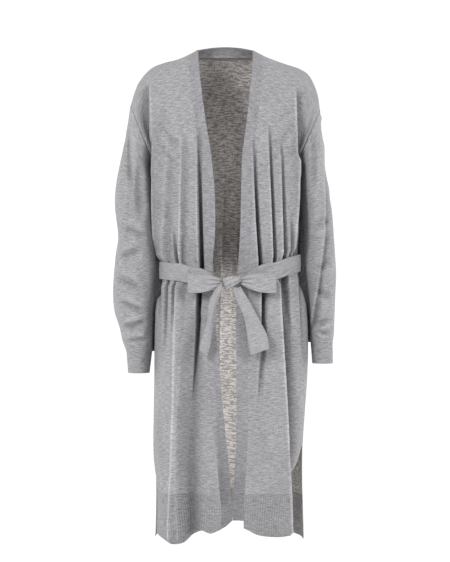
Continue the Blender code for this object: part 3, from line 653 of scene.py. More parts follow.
JERSEY_TINT = (0.95, 0.94, 0.89)
RIB_TINT = (0.95, 0.94, 0.90)
BAND_TINT = (0.95, 0.94, 0.92)
BELT_TINT = (0.96, 0.95, 0.92)
REVERSE_TINT = (0.95, 0.93, 0.90)
jersey = knit_material("marled_jersey", (0.455, 0.448, 0.465), (0.235, 0.230, 0.243), JERSEY_TINT)
reverse = knit_material(
    "reverse_jersey", (0.60, 0.565, 0.55), (0.24, 0.226, 0.218), REVERSE_TINT,
    bump=0.3, grain=0.6, parting=0.22,
)


def across(columns, short=SEAM / 2, strip=None):
    """Places along a row: from the seam to a little short of its other end, or the last strip."""
    share = np.linspace(0, 1, columns)

    def places(whole):
        start = SEAM / 2 if strip is None else whole - strip
        return start + share * (whole - short - start)

    return places


rows = panel_rows(BACK_RIB_TOP)
points = np.array([surface(BACK, across(190), v) for v in rows])
lay_cloth("back", points, from_body, jersey, reverse)

# Back hem rib
# A deep band of fine upright rib that finishes the back. It is knitted on, and its sides are free
# at the slits.
RIB_PITCH = 5.6
RIB_RISE = 0.3
RIB_LAP = 0.12
RIB_START = 4
BACK_HEM_LINE = rows_of(
    Spot,
    (-163, 1080),
    (-110, 1073),
    (-55, 1060),
    (6, 1054),
    (60, 1062),
    (112, 1077),
    (167, 1086),
)

rib_knit = knit_material(
    "hem_rib", (0.415, 0.407, 0.417), (0.22, 0.215, 0.223), RIB_TINT, RIB_PITCH * METRE, 0.17,
)
rib_reverse = knit_material(
    "hem_rib_inside", (0.42, 0.405, 0.395), (0.19, 0.18, 0.175), REVERSE_TINT, RIB_PITCH * METRE, 0.25,
)


def raise_ribs(points):
    """Lifts the upright ribs of a strip, counted along the cloth from its middle column."""
    place = points[:, :, :3]
    on = np.gradient(place, axis=1)
    out = unit(np.stack([on[:, :, 1], -on[:, :, 0], np.zeros(points.shape[:2])], 2))
    facing = np.sign((out * place * HORIZONTAL).sum(2, keepdims=True).mean())
    wave = np.cos(2 * math.pi * (widths(place) / RIB_PITCH - 0.5))
    wave = wave * ease(np.arange(len(points)) / RIB_START)[:, None]
    lifted = place + out * facing * (RIB_LAP + RIB_RISE * wave)[:, :, None]
    return np.concatenate([lifted, points[:, :, 3:]], 2)


def follow_hem(points, top, nominal, table):
    """Stretches the rows below a level so that the last one follows a hem line."""
    hem = smooth(column(table, "drop"), column(table, "x"), points[:, :, 0])
    points[:, :, 2] = -(top + (-points[:, :, 2] - top) * (hem - top) / (nominal - top))


rows = np.linspace(BACK_RIB_TOP - RIB_LAP, BACK_HEM, 26) / UNDERARM
points = np.array([surface(BACK, across(600), v) for v in rows])
follow_hem(points, BACK_RIB_TOP, BACK_HEM, BACK_HEM_LINE)
lay_cloth("back_hem_rib", raise_ribs(points), from_body, rib_knit, rib_reverse)

# Fronts
# Two open fronts of the same marled jersey, side seam to band. The belt gathers each into narrow
# pinched folds, above it and below it, and each swings forward of the back below its slit top.
RIB_TOP = 975.0
HEM = 1084.0

FRONT_RIGHT_FOLDS = rows_of(
    Fold,
    (78, 300, -172, -171, -167, 2, 18, 26, 4, 13, 0.5, 1.0, -1),
    (84, 505, -170, -163, -150, 2.5, 0, 3, 3, 5, 0.8, 1.0, -1),
    (200, 505, -161, -159, -150, 9, 8, 22, 4, 13, 0.6, 1.0, -1),
    (190, 508, -130, -137, -138, 4, 6, 16, 6, 11, 0.3, 0.9, 1),
    (395, 512, -122, -117, -110, 3, 20, 12, 3, 5, 0.0, 1.0, 1),
    (195, 510, -100, -102, -104, 4, 7, 17, 4, 9, 0.35, 1.0, 1),
    (190, 510, -101, -103, -105, 2.2, 0, 2.5, 3, 5, 0.1, 1.0, 1),
    (180, 512, -68, -66, -62, 5, 36, 26, 2.5, 7.0, 0.05, 1.0, 1),
    (180, 510, -69, -67, -62, 2.2, 0, 2.5, 3, 5, 0.1, 1.0, 1),
    (470, 610, -150, -153, -154, 4, 16, 9, 3, 5, 1.0, 0.0, 1),
    (470, 680, -134, -136, -138, 4, 18, 9, 3, 5, 1.0, 0.0, 1),
    (470, 640, -118, -119, -120, 3, 14, 7, 3, 5, 1.0, 0.0, 1),
    (474, 1095, -108, -111, -120, 12, 7, 30, 16, 26, 0.8, 1.0, 1),
    (480, 1095, -110, -112, -120, 3, 0, 3.0, 3.5, 5, 0.8, 1.0, 1),
    (470, 790, -66, -74, -84, 3, 36, 16, 3, 7.5, 1.0, 0.0, 1),
    (570, 1095, -92, -108, -108, 3, 21, 20, 26, 18, 0.4, 1.0, 1),
    (690, 1010, -34, -26, -18, 1, 6, 16, 8, 12, 0.2, 0.8, 1),
)
FRONT_LEFT_FOLDS = rows_of(
    Fold,
    (96, 300, 148, 150, 150, 2, 18, 24, 4, 13, 0.5, 1.0, 1),
    (96, 505, 147, 149, 137, 2.5, 0, 3, 3, 5, 0.8, 1.0, 1),
    (235, 505, 149, 147, 136, 8, 14, 22, 4, 11, 1.0, 1.0, 1),
    (205, 512, 52, 58, 68, 5, 32, 24, 2.5, 6.0, 0.06, 1.0, 1),
    (190, 510, 51, 57, 67, 2.2, 0, 2.5, 3, 5, 0.15, 1.0, 1),
    (180, 512, 86, 92, 98, 5, 28, 20, 2.5, 5.5, 0.12, 1.0, 1),
    (180, 510, 85, 91, 97, 2.2, 0, 2.5, 3, 5, 0.15, 1.0, 1),
    (215, 512, 113, 116, 118, 4, 26, 16, 2.5, 5.5, 0.15, 1.0, 1),
    (215, 510, 112, 115, 117, 2.2, 0, 2.5, 3, 5, 0.1, 1.0, 1),
    (370, 512, 130, 131, 130, 3, 18, 9, 3, 5, 0.0, 1.0, 1),
    (400, 512, 144, 145, 144, 3, 16, 8, 3, 5, 0.0, 1.0, 1),
    (470, 800, 72, 70, 62, 4, 28, 18, 3, 7.5, 1.0, 0.0, 1),
    (480, 760, 71, 69, 62, 2, 0, 2.5, 3, 5, 1.0, 0.3, 1),
    (474, 1095, 106, 123, 131, 10, 30, 32, 4, 13, 0.9, 1.0, 1),
    (480, 1095, 105, 122, 130, 3, 0, 3.0, 3.5, 5, 1.0, 1.0, 1),
    (470, 640, 131, 135, 140, 4, 20, 9, 3, 5.5, 1.0, 0.0, -1),
    (470, 700, 149, 154, 160, 4, 14, 9, 3, 5, 1.0, 0.0, 1),
)
FRONT_RIGHT_CREASES = rows_of(
    Crease,
    (-162, 130, -120, 185, 7, 2.0),
    (-158, 165, -112, 232, 7, 2.2),
    (-156, 205, -118, 270, 6, 1.8),
    (-150, 250, -108, 318, 6, 1.5),
    (-90, 150, -58, 215, 10, 1.4),
    (-150, 330, -120, 400, 8, 1.6),
    (-60, 700, -34, 830, 12, 1.6),
    (-150, 800, -128, 930, 12, 1.8),
)
FRONT_LEFT_CREASES = rows_of(
    Crease,
    (142, 140, 96, 190, 7, 1.8),
    (144, 175, 104, 238, 7, 2.0),
    (132, 215, 88, 268, 6, 1.6),
    (60, 140, 88, 200, 10, 1.2),
    (40, 640, 66, 760, 13, 1.6),
    (60, 800, 92, 930, 14, 1.5),
)
FRONT_RIGHT = Panel(-1, -1, -1, FRONT_RIGHT_FOLDS, FRONT_RIGHT_CREASES)
FRONT_LEFT = Panel(-1, 1, 1, FRONT_LEFT_FOLDS, FRONT_LEFT_CREASES)
FRONTS = (("right", FRONT_RIGHT), ("left", FRONT_LEFT))
SIDES = (("right", -1), ("left", 1))

rows = panel_rows(RIB_TOP)
for side, panel in FRONTS:
    points = np.array([surface(panel, across(168, BAND), v) for v in rows])
    lay_cloth("front_" + side, points, from_body, jersey, reverse)

# Front hem ribs
# Each front ends in the same deep rib as the back, and its lower edge dips and lifts with the folds.
FRONT_HEM = rows_of(
    Spot,
    (-165, 1068),
    (-146, 1073),
    (-120, 1084),
    (-95, 1079),
    (-76, 1061),
    (-59, 1053),
    (-38, 1059),
    (-14, 1050),
    (36, 1049),
    (62, 1062),
    (94, 1068),
    (150, 1070),
)

rows = np.linspace(RIB_TOP - RIB_LAP, HEM, 28) / UNDERARM
for side, panel in FRONTS:
    points = np.array([surface(panel, across(300, BAND), v) for v in rows])
    follow_hem(points, RIB_TOP, HEM, FRONT_HEM)
    node = "front_" + side + "_hem_rib"
    lay_cloth(node, raise_ribs(points), from_body, rib_knit, rib_reverse)

# Front bands
# A narrow, firm band knitted down each opening edge from the shoulder seam to the hem. It is a
# little darker and cooler than the fronts, and its fine wales run down its length.
BAND_HEM = {"right": 1040.0, "left": 1031.0}
BAND_PITCH = 2.4
BAND_WALL = 1.9
LAP = 0.5
RAISED = 0.08
# How much painted shade darkens each band towards its foot, the drop where it starts and the drop over which
# it grows
FOOT_SHADE = 0.26
FOOT_SHADE_TOP = 800.0
FOOT_SHADE_BLEND = 200.0
BAND_FOOT = {
    "right": rows_of(Spot, (-18, 1051), (-4, 1043), (9, 1031)),
    "left": rows_of(Spot, (8, 1031), (22, 1031), (36, 1032)),
}

band_knit = knit_material(
    "front_band", (0.415, 0.41, 0.43), (0.222, 0.218, 0.232), BAND_TINT, BAND_PITCH * METRE, 0.06,
)
for side, panel in FRONTS:
    rows = panel_rows(BAND_HEM[side])
    points = np.array([surface(panel, across(15, 0.0, BAND + LAP), v) for v in rows])
    points[:, :, 1] -= RAISED
    foot = np.abs(points[:, 0, 2]) > RIB_TOP
    lower = points[foot]
    follow_hem(lower, RIB_TOP, BAND_HEM[side], BAND_FOOT[side])
    points[foot] = lower
    # Painted shade, darker towards the foot of the band
    points[:, :, 3] *= 1 - FOOT_SHADE * ease((np.abs(points[:, :, 2]) - FOOT_SHADE_TOP) / FOOT_SHADE_BLEND)
    lay_cloth("band_" + side, points, from_body, band_knit, band_knit, wall=BAND_WALL)

# Neck band
# The same band goes round the back of the neck, from one shoulder seam to the other, and stands up
# from the back's neck seam.
edge = neck_arc(0.0, NECK_EDGE_BACK, NECK_EDGE_DROP)
seam = neck_arc(BAND, NECK_SEAM_BACK, NECK_SEAM_DROP)
share = np.linspace(0, 1, 90)
free = along_line(edge, SEAM + share * (lengths(edge)[-1] - 2 * SEAM))
sewn = along_line(seam, share * lengths(seam)[-1]) - (0, 0, SEAM)
lift = np.linspace(0, 1, 10)[:, None, None]
points = free + (sewn - free) * lift
points[:, :, 1] += SEAM + 2.0 * np.sin(math.pi * lift[:, :, 0]) * np.sin(math.pi * share)
back_way = np.array([0.0, 1.0, 0.0])
lay_cloth("band_back_neck", points, lambda p: back_way, band_knit, band_knit, wall=BAND_WALL)

# Sleeves
# Long, nearly straight sleeves of the marled jersey, set to the dropped shoulders. They hang
# against the body, creased softly down their length and wrinkled across above the cuffs.
Cuff = namedtuple("Cuff", "x_out drop_out x_in drop_in depth forward")
SLEEVE = {
    "right": rows_of(
        Cuff,
        (215, 130, 169.4, 245, 62, 0),
        (224, 183, 174, 266, 65, -3),
        (234, 235, 171, 292, 67, -6),
        (247, 300, 169, 325, 68, -8),
        (250, 352, 166.5, 362, 67, -8),
        (243, 418, 161, 422, 63, -7),
        (249, 465, 158, 468, 61, -6),
        (254, 535, 160, 537, 57, -3),
        (251, 582, 164, 582, 54, 0),
        (240, 617, 165, 617, 51, 3),
        (232, 648, 166, 648, 47, 6),
        (224, 672, 167, 672, 40, 8),
    ),
    "left": rows_of(
        Cuff,
        (203, 140, 157.6, 245, 62, 0),
        (207, 190, 163.5, 268, 65, -3),
        (213, 242, 162, 295, 67, -6),
        (222, 312, 162, 330, 68, -8),
        (230, 362, 163.5, 370, 67, -8),
        (234, 415, 166, 418, 64, -7),
        (237, 460, 167, 462, 62, -6),
        (239, 505, 171, 507, 59, -4),
        (237, 550, 177, 550, 56, -2),
        (235, 600, 180, 600, 51, 2),
        (233, 630, 181, 630, 47, 5),
        (231, 652, 182, 652, 41, 7),
    ),
}
CUFF_END = {"right": Cuff(220, 719, 173, 719, 37, 10), "left": Cuff(231, 698, 186, 698, 37, 10)}
# Creases of a sleeve, on its front (-1) or its back (1), across the figure and down it
SleeveCrease = namedtuple("SleeveCrease", "face x_from drop_from x_to drop_to width depth")
SLEEVE_CREASES = {
    "right": rows_of(
        SleeveCrease,
        (-1, -222, 170, -214, 330, 8, 3.0),
        (-1, -198, 250, -190, 400, 9, 3.0),
        (-1, -236, 395, -176, 425, 7, 2.6),
        (-1, -244, 470, -184, 448, 8, 2.6),
        (-1, -246, 505, -186, 540, 8, 3.0),
        (-1, -240, 560, -178, 590, 7, 3.0),
        (-1, -232, 622, -176, 606, 7, 3.0),
        (-1, -226, 650, -172, 642, 5, 2.2),
        (1, -228, 180, -216, 340, 9, 3.0),
        (1, -240, 400, -180, 440, 9, 3.0),
        (1, -242, 500, -186, 470, 9, 3.0),
        (1, -238, 560, -176, 600, 8, 3.0),
    ),
    "left": rows_of(
        SleeveCrease,
        (-1, 190, 180, 184, 330, 8, 3.0),
        (-1, 200, 142, 182, 168, 6, 2.4),
        (-1, 224, 380, 178, 412, 8, 2.4),
        (-1, 230, 470, 186, 500, 8, 2.6),
        (-1, 228, 560, 188, 535, 8, 2.8),
        (-1, 226, 600, 190, 616, 6, 2.8),
        (-1, 224, 634, 192, 628, 5, 2.0),
        (1, 216, 190, 206, 350, 9, 3.0),
        (1, 226, 400, 182, 430, 9, 3.0),
        (1, 228, 500, 186, 470, 9, 3.0),
        (1, 226, 570, 186, 600, 8, 3.0),
    ),
}
# The long folds on the front of a sleeve, each with a painted highlight along its edge and painted shade in
# its valley
SLEEVE_FOLDS = {
    "right": (Fold(150, 420, -226, -222, -226, 1.6, 3, 9, 4, 12, 0.6, 0.3, 1),),
    "left": (Fold(200, 625, 210, 211, 181, 2.6, 7, 9, 3, 8, 0.6, 1.0, 1),),
}
SLEEVE_COLUMNS = 132
SLEEVE_ROWS = 150
DEEPEST = 3.8
CREASE_GAIN = 2.9
# Painted shade in the sleeve creases with painted highlight on their lips, and the painted shade of the rows
# tucked into the armhole
SLEEVE_SHADE = 0.085
TUCK_SHADE = 0.6
PUFF = 1.0
# The first two rows are tucked in at the armhole: how much thinner, and how far in
Tuck = namedtuple("Tuck", "thinner deep")
TUCKS = rows_of(Tuck, (4.5, 9.0), (3.2, 2.0))
HOLE_RADIUS = 62.0
# The inner back quarter that lies close to the back panel, and how softly it begins and ends
CLEAR = 1.2
CLOSE_TOP = 223.0
CLOSE_BLEND = 14.0
CLOSE_SIDE = 60.0
CLOSE_ACROSS = 12.0
CLOSE_FRONT = -4.0
CLOSE_FRONT_BLEND = 16.0
CLOSE_BACK = 62.0
CLOSE_BACK_BLEND = 22.0


def tube(rings, sign, columns):
    """Points of a sleeve or a cuff, ring by ring."""
    turns = np.linspace(0, 2 * math.pi, columns)
    c, s = np.cos(turns), np.sin(turns)
    points = []
    for x_out, drop_out, x_in, drop_in, depth, forward in rings:
        outer = np.array([x_out * sign, -forward, -drop_out])
        inner = np.array([x_in * sign, -forward, -drop_in])
        across = np.outer(c, (outer - inner) / 2)
        points.append((outer + inner) / 2 + across + np.outer(s, (0.0, -depth, 0.0)))
    return np.array(points)


def out_of_tube(points):
    """A tube's middle line, and the level way out of it at each point."""
    middle = points.mean(1, keepdims=True)
    return middle[:, 0], unit((points - middle) * HORIZONTAL)


def turned_to(face, out):
    return ease((face * out[:, :, 1] + 0.1) / 0.5)


def behind_body(points, sign):
    """Brings a sleeve's inner back quarter close to the back panel, as cloth hangs."""
    for row in points:
        drop = -row[:, 2].min()
        reach = float(ease((drop - CLOSE_TOP) / CLOSE_BLEND))
        if reach == 0:
            continue
        panel = surface(BACK, across(240), drop / UNDERARM)
        panel = panel[panel[:, 0] * sign > CLOSE_SIDE]
        panel = panel[np.argsort(panel[:, 1])]
        wall = np.interp(row[:, 1], panel[:, 1], panel[:, 0]) * sign + CLEAR
        aside = row[:, 0] * sign
        inner = ease((aside.mean() - aside) / CLOSE_ACROSS)
        inner = inner * ease((row[:, 1] - CLOSE_FRONT) / CLOSE_FRONT_BLEND)
        inner = inner * ease((CLOSE_BACK - row[:, 1]) / CLOSE_BACK_BLEND)
        row[:, 0] += reach * inner * (np.minimum(wall, aside) - aside) * sign


for side, sign in SIDES:
    at, measures = along_table(SLEEVE[side], SLEEVE_ROWS)
    points = tube(zip(*measures), sign, SLEEVE_COLUMNS)
    hole = points[0, 0] - points[0, SLEEVE_COLUMNS // 2]
    away = unit(np.array([hole[2], 0.0, -hole[0]])) * sign
    points += away * 2 * SEAM * np.exp(-at / 0.3)[:, None, None]
    line, out = out_of_tube(points)
    lifted = np.zeros(points.shape[:2])
    for face in (-1, 1):
        creases = [Crease(*row[1:]) for row in SLEEVE_CREASES[side] if row.face == face]
        lifted += turned_to(face, out) * crease_height(creases, points[:, :, 0], -points[:, :, 2])
    to_ends = ease((at[-1] - at) / 0.5)[:, None] * ease(at / 0.4)[:, None]
    lifted = DEEPEST * np.tanh(lifted / DEEPEST) * to_ends
    folded, fold_shade = fold_height(SLEEVE_FOLDS[side], points[:, :, 0], -points[:, :, 2])
    facing = turned_to(-1, out)
    puff = PUFF * np.exp(-(((at - (at[-1] - 0.9)) / 0.6) ** 2))[:, None]
    height = CREASE_GAIN * lifted + puff * to_ends + facing * folded
    points = points + out * height[:, :, None] * (out * (1, 0, 0) * sign > -0.8)
    behind_body(points, sign)
    heart = points[0].mean(0)
    hole = points[0] - heart
    tucked = [heart + hole * (1 - tuck.thinner / HOLE_RADIUS) - away * tuck.deep for tuck in TUCKS]
    points = np.concatenate([tucked, points])
    # Painted shade and highlight of the creases and the long folds, and painted shade on the tucked rows
    shade = (1 + SLEEVE_SHADE * lifted) * (1 + (fold_shade - 1) * facing)
    shade = np.concatenate([np.full((len(TUCKS), SLEEVE_COLUMNS), TUCK_SHADE), shade])
    points = np.concatenate([points, shade[:, :, None]], 2)

    def from_sleeve(point, line=line):
        nearest = line[np.argmin(np.abs(line[:, 2] - point[2]))]
        return (point - nearest) * HORIZONTAL

    lay_cloth("sleeve_" + side, points, from_sleeve, jersey, reverse, closed=True)

# Cuffs
# A short, closely ribbed cuff knitted on each sleeve. It draws the cloth in a little, so the sleeve
# blouses over its seam.
CUFF_PITCH = 3.6
CUFF_RISE = 0.18
CUFF_COLUMNS = 330
CUFF_ROWS = 16
CUFF_INSET = 0.4

cuff_knit = knit_material(
    "cuff_rib", (0.44, 0.434, 0.45), (0.24, 0.235, 0.247), BAND_TINT, CUFF_PITCH * METRE, 0.08,
)
for side, sign in SIDES:
    inset = Cuff(-CUFF_INSET, SEAM, CUFF_INSET, SEAM, -CUFF_INSET, 0)
    rings = np.linspace(np.add(SLEEVE[side][-1], inset), CUFF_END[side], CUFF_ROWS)
    points = tube(rings, sign, CUFF_COLUMNS)
    line, out = out_of_tube(points)
    around = lengths(points[0])
    count = round(around[-1] / CUFF_PITCH)
    points = points + out * (CUFF_RISE * np.cos(2 * math.pi * count * around / around[-1]))[None, :, None]
    heart = line[0]
    lay_cloth(
        "cuff_" + side, points, lambda p: (p - heart) * HORIZONTAL, cuff_knit, reverse,
        closed=True,
    )

# Belt
# A separate tie belt, knitted double and smooth, 38 mm wide. It goes round the waist over the
# gathered cloth, is pulled narrow where it enters the knot, and dips there.
BELT_WIDTH = 38.0
BELT_GAP = 0.8
BELT_WALL = 2.6
KNOT_X = 6.0
BELT_AT_KNOT = 16.0
BELT_SPREAD = 44.0
BELT_LINE = 2.1
BELT_CROWN = 0.9
BELT_PLEAT = 0.98
BELT_RADIUS = 150.0
# A wave has a height, a length over 2 pi and a start
Wave = namedtuple("Wave", "height length start")
EDGE_WAVES = rows_of(Wave, (0.7, 17.0, 0.6), (0.5, 7.3, 0.0))

belt_knit = knit_material(
    "belt_knit", (0.465, 0.46, 0.477), (0.30, 0.295, 0.308), BELT_TINT, BELT_LINE * METRE, 0.08, 0.25,
)

turn = np.linspace(0, 2 * math.pi, 520)
c, s = np.cos(turn), np.sin(turn)
power = 2 / WAIST_RING.square
grow = BELT_GAP + BELT_WALL
x = (np.where(c > 0, WAIST_RING.side_left, WAIST_RING.side_right) + grow) * squared(c, power)
y = (np.where(s > 0, WAIST_RING.back, WAIST_RING.front) + grow) * squared(s, power)
line = np.stack([x, y, np.zeros_like(x)], 1)
even = np.linspace(0, lengths(line)[-1], 620)
x, y = along_line(line, even)[:, :2].T
x[-1], y[-1] = x[0], y[0]
front_side = y < 0
middle = np.where(front_side, belt_drop(x, -1), belt_drop(x, 1))
away = np.abs(x - KNOT_X) - BELT_AT_KNOT
gathered = 1 - ease(away / BELT_SPREAD)
narrowed = BELT_AT_KNOT + (BELT_WIDTH - BELT_AT_KNOT) * (1 - gathered)
half = np.where(front_side, narrowed, BELT_WIDTH) / 2
edge_ripple = sum(wave.height * np.sin(x / wave.length + wave.start) for wave in EDGE_WAVES)
rows = []
for k in np.linspace(-1, 1, 19):
    pleats = np.where(front_side, gathered, 0.0) * BELT_PLEAT * np.cos(3.5 * math.pi * k)
    swell = 1 + (BELT_CROWN * (1 - k**2) + pleats) / BELT_RADIUS
    rows.append(np.stack([x * swell, y * swell, -(middle + half * k + edge_ripple * abs(k))], 1))
lay_cloth(
    "belt_waist", np.array(rows), from_body, belt_knit, belt_knit,
    wall=BELT_WALL - 0.6, closed=True,
)

# Knot
# The belt's own cloth, wrapped once round itself and pulled tight, with its pleats running slantwise
# round it.
KNOT = rows_of(
    Spot,
    (-12, 509),
    (8, 506.5),
    (26, 507.5),
    (28.5, 518),
    (12, 529),
    (-4.5, 538.5),
    (-12, 521),
    (-12, 509),
)
KNOT_BACK = -104.6
KNOT_FRONT = -127.0
KNOT_PLEAT = 9.5
KNOT_GROOVE = 0.7
# How much painted shade and highlight the knot's pleats get
KNOT_SHADE = 0.14
KNOT_FLATNESS = 0.38
KNOT_SLANT = (0.42, 0.9)
bpy.ops.object.select_all(action="DESELECT")
bpy.ops.mesh.primitive_uv_sphere_add(segments=96, ring_count=48, radius=1.0)
knot = bpy.context.object
knot.name = "belt_knot_cloth"
corners = np.array([(p.x, p.drop) for p in KNOT], float)
round_it = np.linspace(0, lengths(corners)[-1], 240, endpoint=False)
outline = np.stack([np.interp(round_it, lengths(corners), corners[:, k]) for k in range(2)], 1)
heart = outline.mean(0)
bearing = np.arctan2(outline[:, 1] - heart[1], outline[:, 0] - heart[0])
reach = np.hypot(*(outline - heart).T)
order = np.argsort(bearing)
bearing, reach = bearing[order], reach[order]
ball, corner = read_mesh(knot.data)
ball = unit(ball)
flat_size = np.hypot(ball[:, 0], ball[:, 1]) ** KNOT_FLATNESS
angle = np.arctan2(ball[:, 1], ball[:, 0])
far = np.interp(angle, bearing, reach, period=2 * math.pi) * flat_size
x = heart[0] + far * np.cos(angle)
drop = heart[1] + far * np.sin(angle)
slant = (x - heart[0]) * KNOT_SLANT[0] + (drop - heart[1]) * KNOT_SLANT[1]
pleat = np.cos(slant * 2 * math.pi / KNOT_PLEAT)
y = (KNOT_BACK + KNOT_FRONT) / 2 + ball[:, 2] * (KNOT_FRONT - KNOT_BACK) / 2
y = y - np.maximum(ball[:, 2], 0) * KNOT_GROOVE * pleat
chart = np.stack([slant, x], 1)[corner]
# Painted shade in the grooves between the pleats and painted highlight on their ridges
place_mesh(knot.data, np.stack([x, y, -drop], 1), 1 + KNOT_SHADE * pleat, chart)
bpy.ops.object.mode_set(mode="EDIT")
bpy.ops.mesh.select_all(action="SELECT")
bpy.ops.mesh.normals_make_consistent(inside=False)
bpy.ops.object.mode_set(mode="OBJECT")
bpy.ops.object.shade_smooth()
knot.data.materials.append(belt_knit)
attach(knot, "root")
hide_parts("belt_knot")

# Bow loops
# Each loop is belt cloth that leaves the knot pleated, spreads to its full width, turns back at a
# pressed fold and returns in front.
LOOP_PLEAT = 1.5
LOOP_PLEATED = 26.0
LOOP_CURL = 0.8
# How much painted shade and highlight the loops' pleats near the knot get
LOOP_SHADE = 0.22
LOOP_MIDDLE = -114.5
LOOP_WALL = 1.8
BowStation = namedtuple("BowStation", "x y drop half")
LOOPS = {
    "right": rows_of(
        BowStation,
        (-13.5, -109, 521, 7),
        (-32, -107, 517, 14),
        (-58, -106, 511, 19),
        (-80, -107, 509, 20),
        (-87, -113, 513, 20),
        (-82, -120, 521, 20),
        (-58, -124, 523, 19),
        (-32, -121, 521, 14),
        (-13.5, -116, 521, 7),
    ),
    "left": rows_of(
        BowStation,
        (28.6, -109, 518, 7),
        (46, -108, 519, 15),
        (70, -106, 521, 20),
        (97, -106, 520, 20),
        (104, -112, 521, 21),
        (98, -119, 522, 21),
        (70, -124, 521, 20),
        (46, -121, 519, 15),
        (28.6, -116, 518, 7),
    ),
}
for side, table in LOOPS.items():
    at, (x, y, drop, half) = along_table(table, 150)
    k = np.linspace(-1, 1, 31)[:, None]
    near_knot = np.exp(-(((x - table[0].x) / LOOP_PLEATED) ** 2))
    front_half = ease((at - 4) / 1.5)
    pleated = near_knot * np.cos(3 * math.pi * k + 0.5)
    raised = LOOP_PLEAT * pleated - LOOP_CURL * (1 - k**2) * (1 - near_knot)
    depth = y - raised * (2 * front_half - 1)
    # The last column is painted shade and highlight across the pleats near the knot
    points = np.stack([x + 0 * k, depth, -(drop + half * k), 1 + LOOP_SHADE * pleated], 2)
    heart = np.array([(table[0].x + table[4].x) / 2, LOOP_MIDDLE, 0.0])
    lay_cloth(
        "bow_loop_" + side, points, lambda p: (p - heart) * HORIZONTAL, belt_knit, belt_knit,
        wall=LOOP_WALL,
    )

# Belt ends
# The two free ends of the belt hang from under the knot, curled a little across their width, and
# finish in a plain closed edge.
TAIL_WALL = 2.0
TAIL_PLEAT = 1.2
TailStation = namedtuple("TailStation", "x_right x_left drop_right drop_left y curl")
TAILS = {
    "right": rows_of(
        TailStation,
        (-20, -11.5, 524, 520, -123, 1),
        (-33, -14, 544, 537, -130, 4),
        (-41, -22, 566, 560, -134, 6),
        (-44, -29, 595, 588, -137, 7),
        (-52, -34, 628, 622, -140, 7),
        (-60, -38, 656, 652, -143, 5),
        (-61, -45, 664, 678, -144, 3),
    ),
    "left": rows_of(
        TailStation,
        (11, 27, 535, 529, -119, 1),
        (15, 35, 548, 543, -125, 2),
        (22, 47, 566, 562, -130, 3),
        (32, 58, 587, 583, -134, 4),
        (38, 70, 614, 606, -138, 4),
        (43, 83, 646, 632, -141, 3),
        (48, 88, 676, 662, -143, 2),
    ),
}
for side, table in TAILS.items():
    at, columns = along_table(table, 90)
    near, other, drop_near, drop_other, y, curl = (values[:, None] for values in columns)
    share = np.linspace(0, 1, 23)[None, :]
    x = near + (other - near) * share
    drop = drop_near + (drop_other - drop_near) * share
    pleat = TAIL_PLEAT * np.exp(-at / 0.8)[:, None] * np.cos(5 * math.pi * share)
    points = np.stack([x, y - curl * np.sin(math.pi * share) - pleat, -drop], 2)
    lay_cloth(
        "belt_tail_" + side, points, lambda p: -back_way, belt_knit, belt_knit,
        wall=TAIL_WALL,
    )

# Thread carriers
# A fine twisted thread loop at each side seam holds the belt. The frame's own loops stay and take
# the thread's colour.
thread, tree, shader = new_material("carrier_thread", 0.85)
place = add_node(tree, "TexCoord")["Object"]
twist = add_node(tree, "TexWave", {"bands_direction": "DIAGONAL"}, Vector=place, Scale=420.0, Distortion=0.6)
tone = blend_node(tree, twist["Fac"], (0.20, 0.198, 0.205, 1), (0.42, 0.415, 0.43, 1))
tree.links.new(tone, shader["Base Color"])
raised = add_node(tree, "Bump", Strength=0.5, Distance=0.0003, Height=twist["Fac"])[0]
tree.links.new(raised, shader["Normal"])
shader["Sheen Weight"].default_value = 0.2
for side in ("right", "left"):
    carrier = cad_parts["belt_carrier_" + side]
    for slot in carrier.material_slots:
        slot.material = thread

# Floor, light and camera
# A plain white studio: a pale floor, an even white surround, a broad soft light on each side of the
# camera, a weaker one behind on each side for the pale edges, and two faint ones in the front gap.
bpy.ops.object.select_all(action="DESELECT")
bpy.ops.mesh.primitive_circle_add(vertices=96, radius=2.2, fill_type="NGON", location=(0, 0, -1.56))
floor = bpy.context.object
floor.name = "floor"
paper, tree, shader = new_material("floor_paper", 0.9)
place = add_node(tree, "TexCoord")["Object"]
mottle = add_node(tree, "TexNoise", Vector=place, Scale=3.0, Detail=3.0)[0]
tone = blend_node(tree, mottle, (0.84, 0.84, 0.84, 1), (0.88, 0.88, 0.88, 1))
tree.links.new(tone, shader["Base Color"])
floor.data.materials.append(paper)

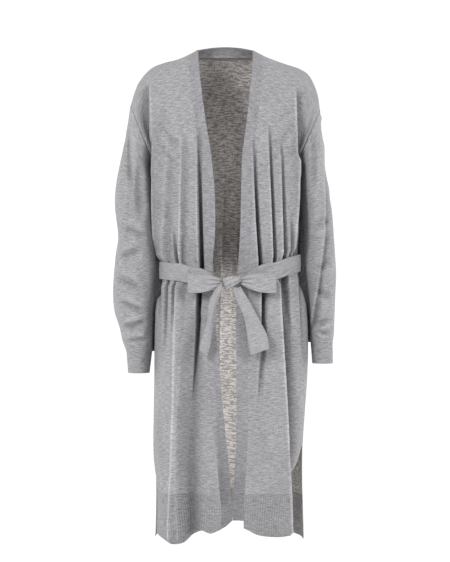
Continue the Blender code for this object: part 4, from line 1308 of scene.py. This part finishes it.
world = bpy.data.worlds.new("studio")
world.use_nodes = True
tree = world.node_tree
surround = tree.nodes["Background"]
surround.inputs["Color"].default_value = (1, 1, 1, 1)
surround.inputs["Strength"].default_value = 0.50
seen = add_node(tree, "Background", Color=(1, 1, 1, 1), Strength=1.05)[0]
ray = add_node(tree, "LightPath")["Is Camera Ray"]
both = add_node(tree, "MixShader", i0=ray, i1=surround.outputs[0], i2=seen)[0]
tree.links.new(both, tree.nodes["World Output"].inputs["Surface"])
bpy.context.scene.world = world


def soft_light(name, place, size, watts, towards, spread_degrees=180):
    lamp = bpy.data.lights.new(name, "AREA")
    lamp.shape = "RECTANGLE"
    lamp.size, lamp.size_y = size
    lamp.energy = watts
    lamp.spread = math.radians(spread_degrees)
    piece = bpy.data.objects.new(name, lamp)
    bpy.context.scene.collection.objects.link(piece)
    piece.location = place
    back_to = piece.location - type(piece.location)(towards)
    piece.rotation_euler = back_to.to_track_quat("Z", "Y").to_euler()


soft_light("key_left", (-2.2, -3.1, 1.5), (1.0, 1.8), 94.0, (0, 0, -0.4))
soft_light("key_right", (2.8, -2.7, 1.1), (1.0, 1.8), 60.0, (0, 0, -0.4))
soft_light("edge_left", (-2.4, 1.0, -0.3), (0.7, 2.2), 26.0, (0, 0, -0.5))
soft_light("edge_right", (2.4, 1.0, -0.3), (0.7, 2.2), 30.0, (0, 0, -0.5))
soft_light("inside_skirt", (0.0, -0.06, -0.74), (0.06, 0.46), 0.21, (0.0, 0.5, -0.76), 80)
soft_light("inside_yoke", (0.0, -0.05, -0.26), (0.04, 0.30), 0.05, (0.0, 0.5, -0.26), 120)

lens = bpy.data.cameras.new("camera")
lens.sensor_fit = "VERTICAL"
lens.sensor_height = 24.0
lens.lens = 86.96
camera = bpy.data.objects.new("camera", lens)
bpy.context.scene.collection.objects.link(camera)
camera.location = (-0.0066, -4.5, -0.517)
camera.rotation_euler = (math.pi / 2, 0, 0)
bpy.context.scene.camera = camera
bpy.context.scene.view_settings.view_transform = "Standard"
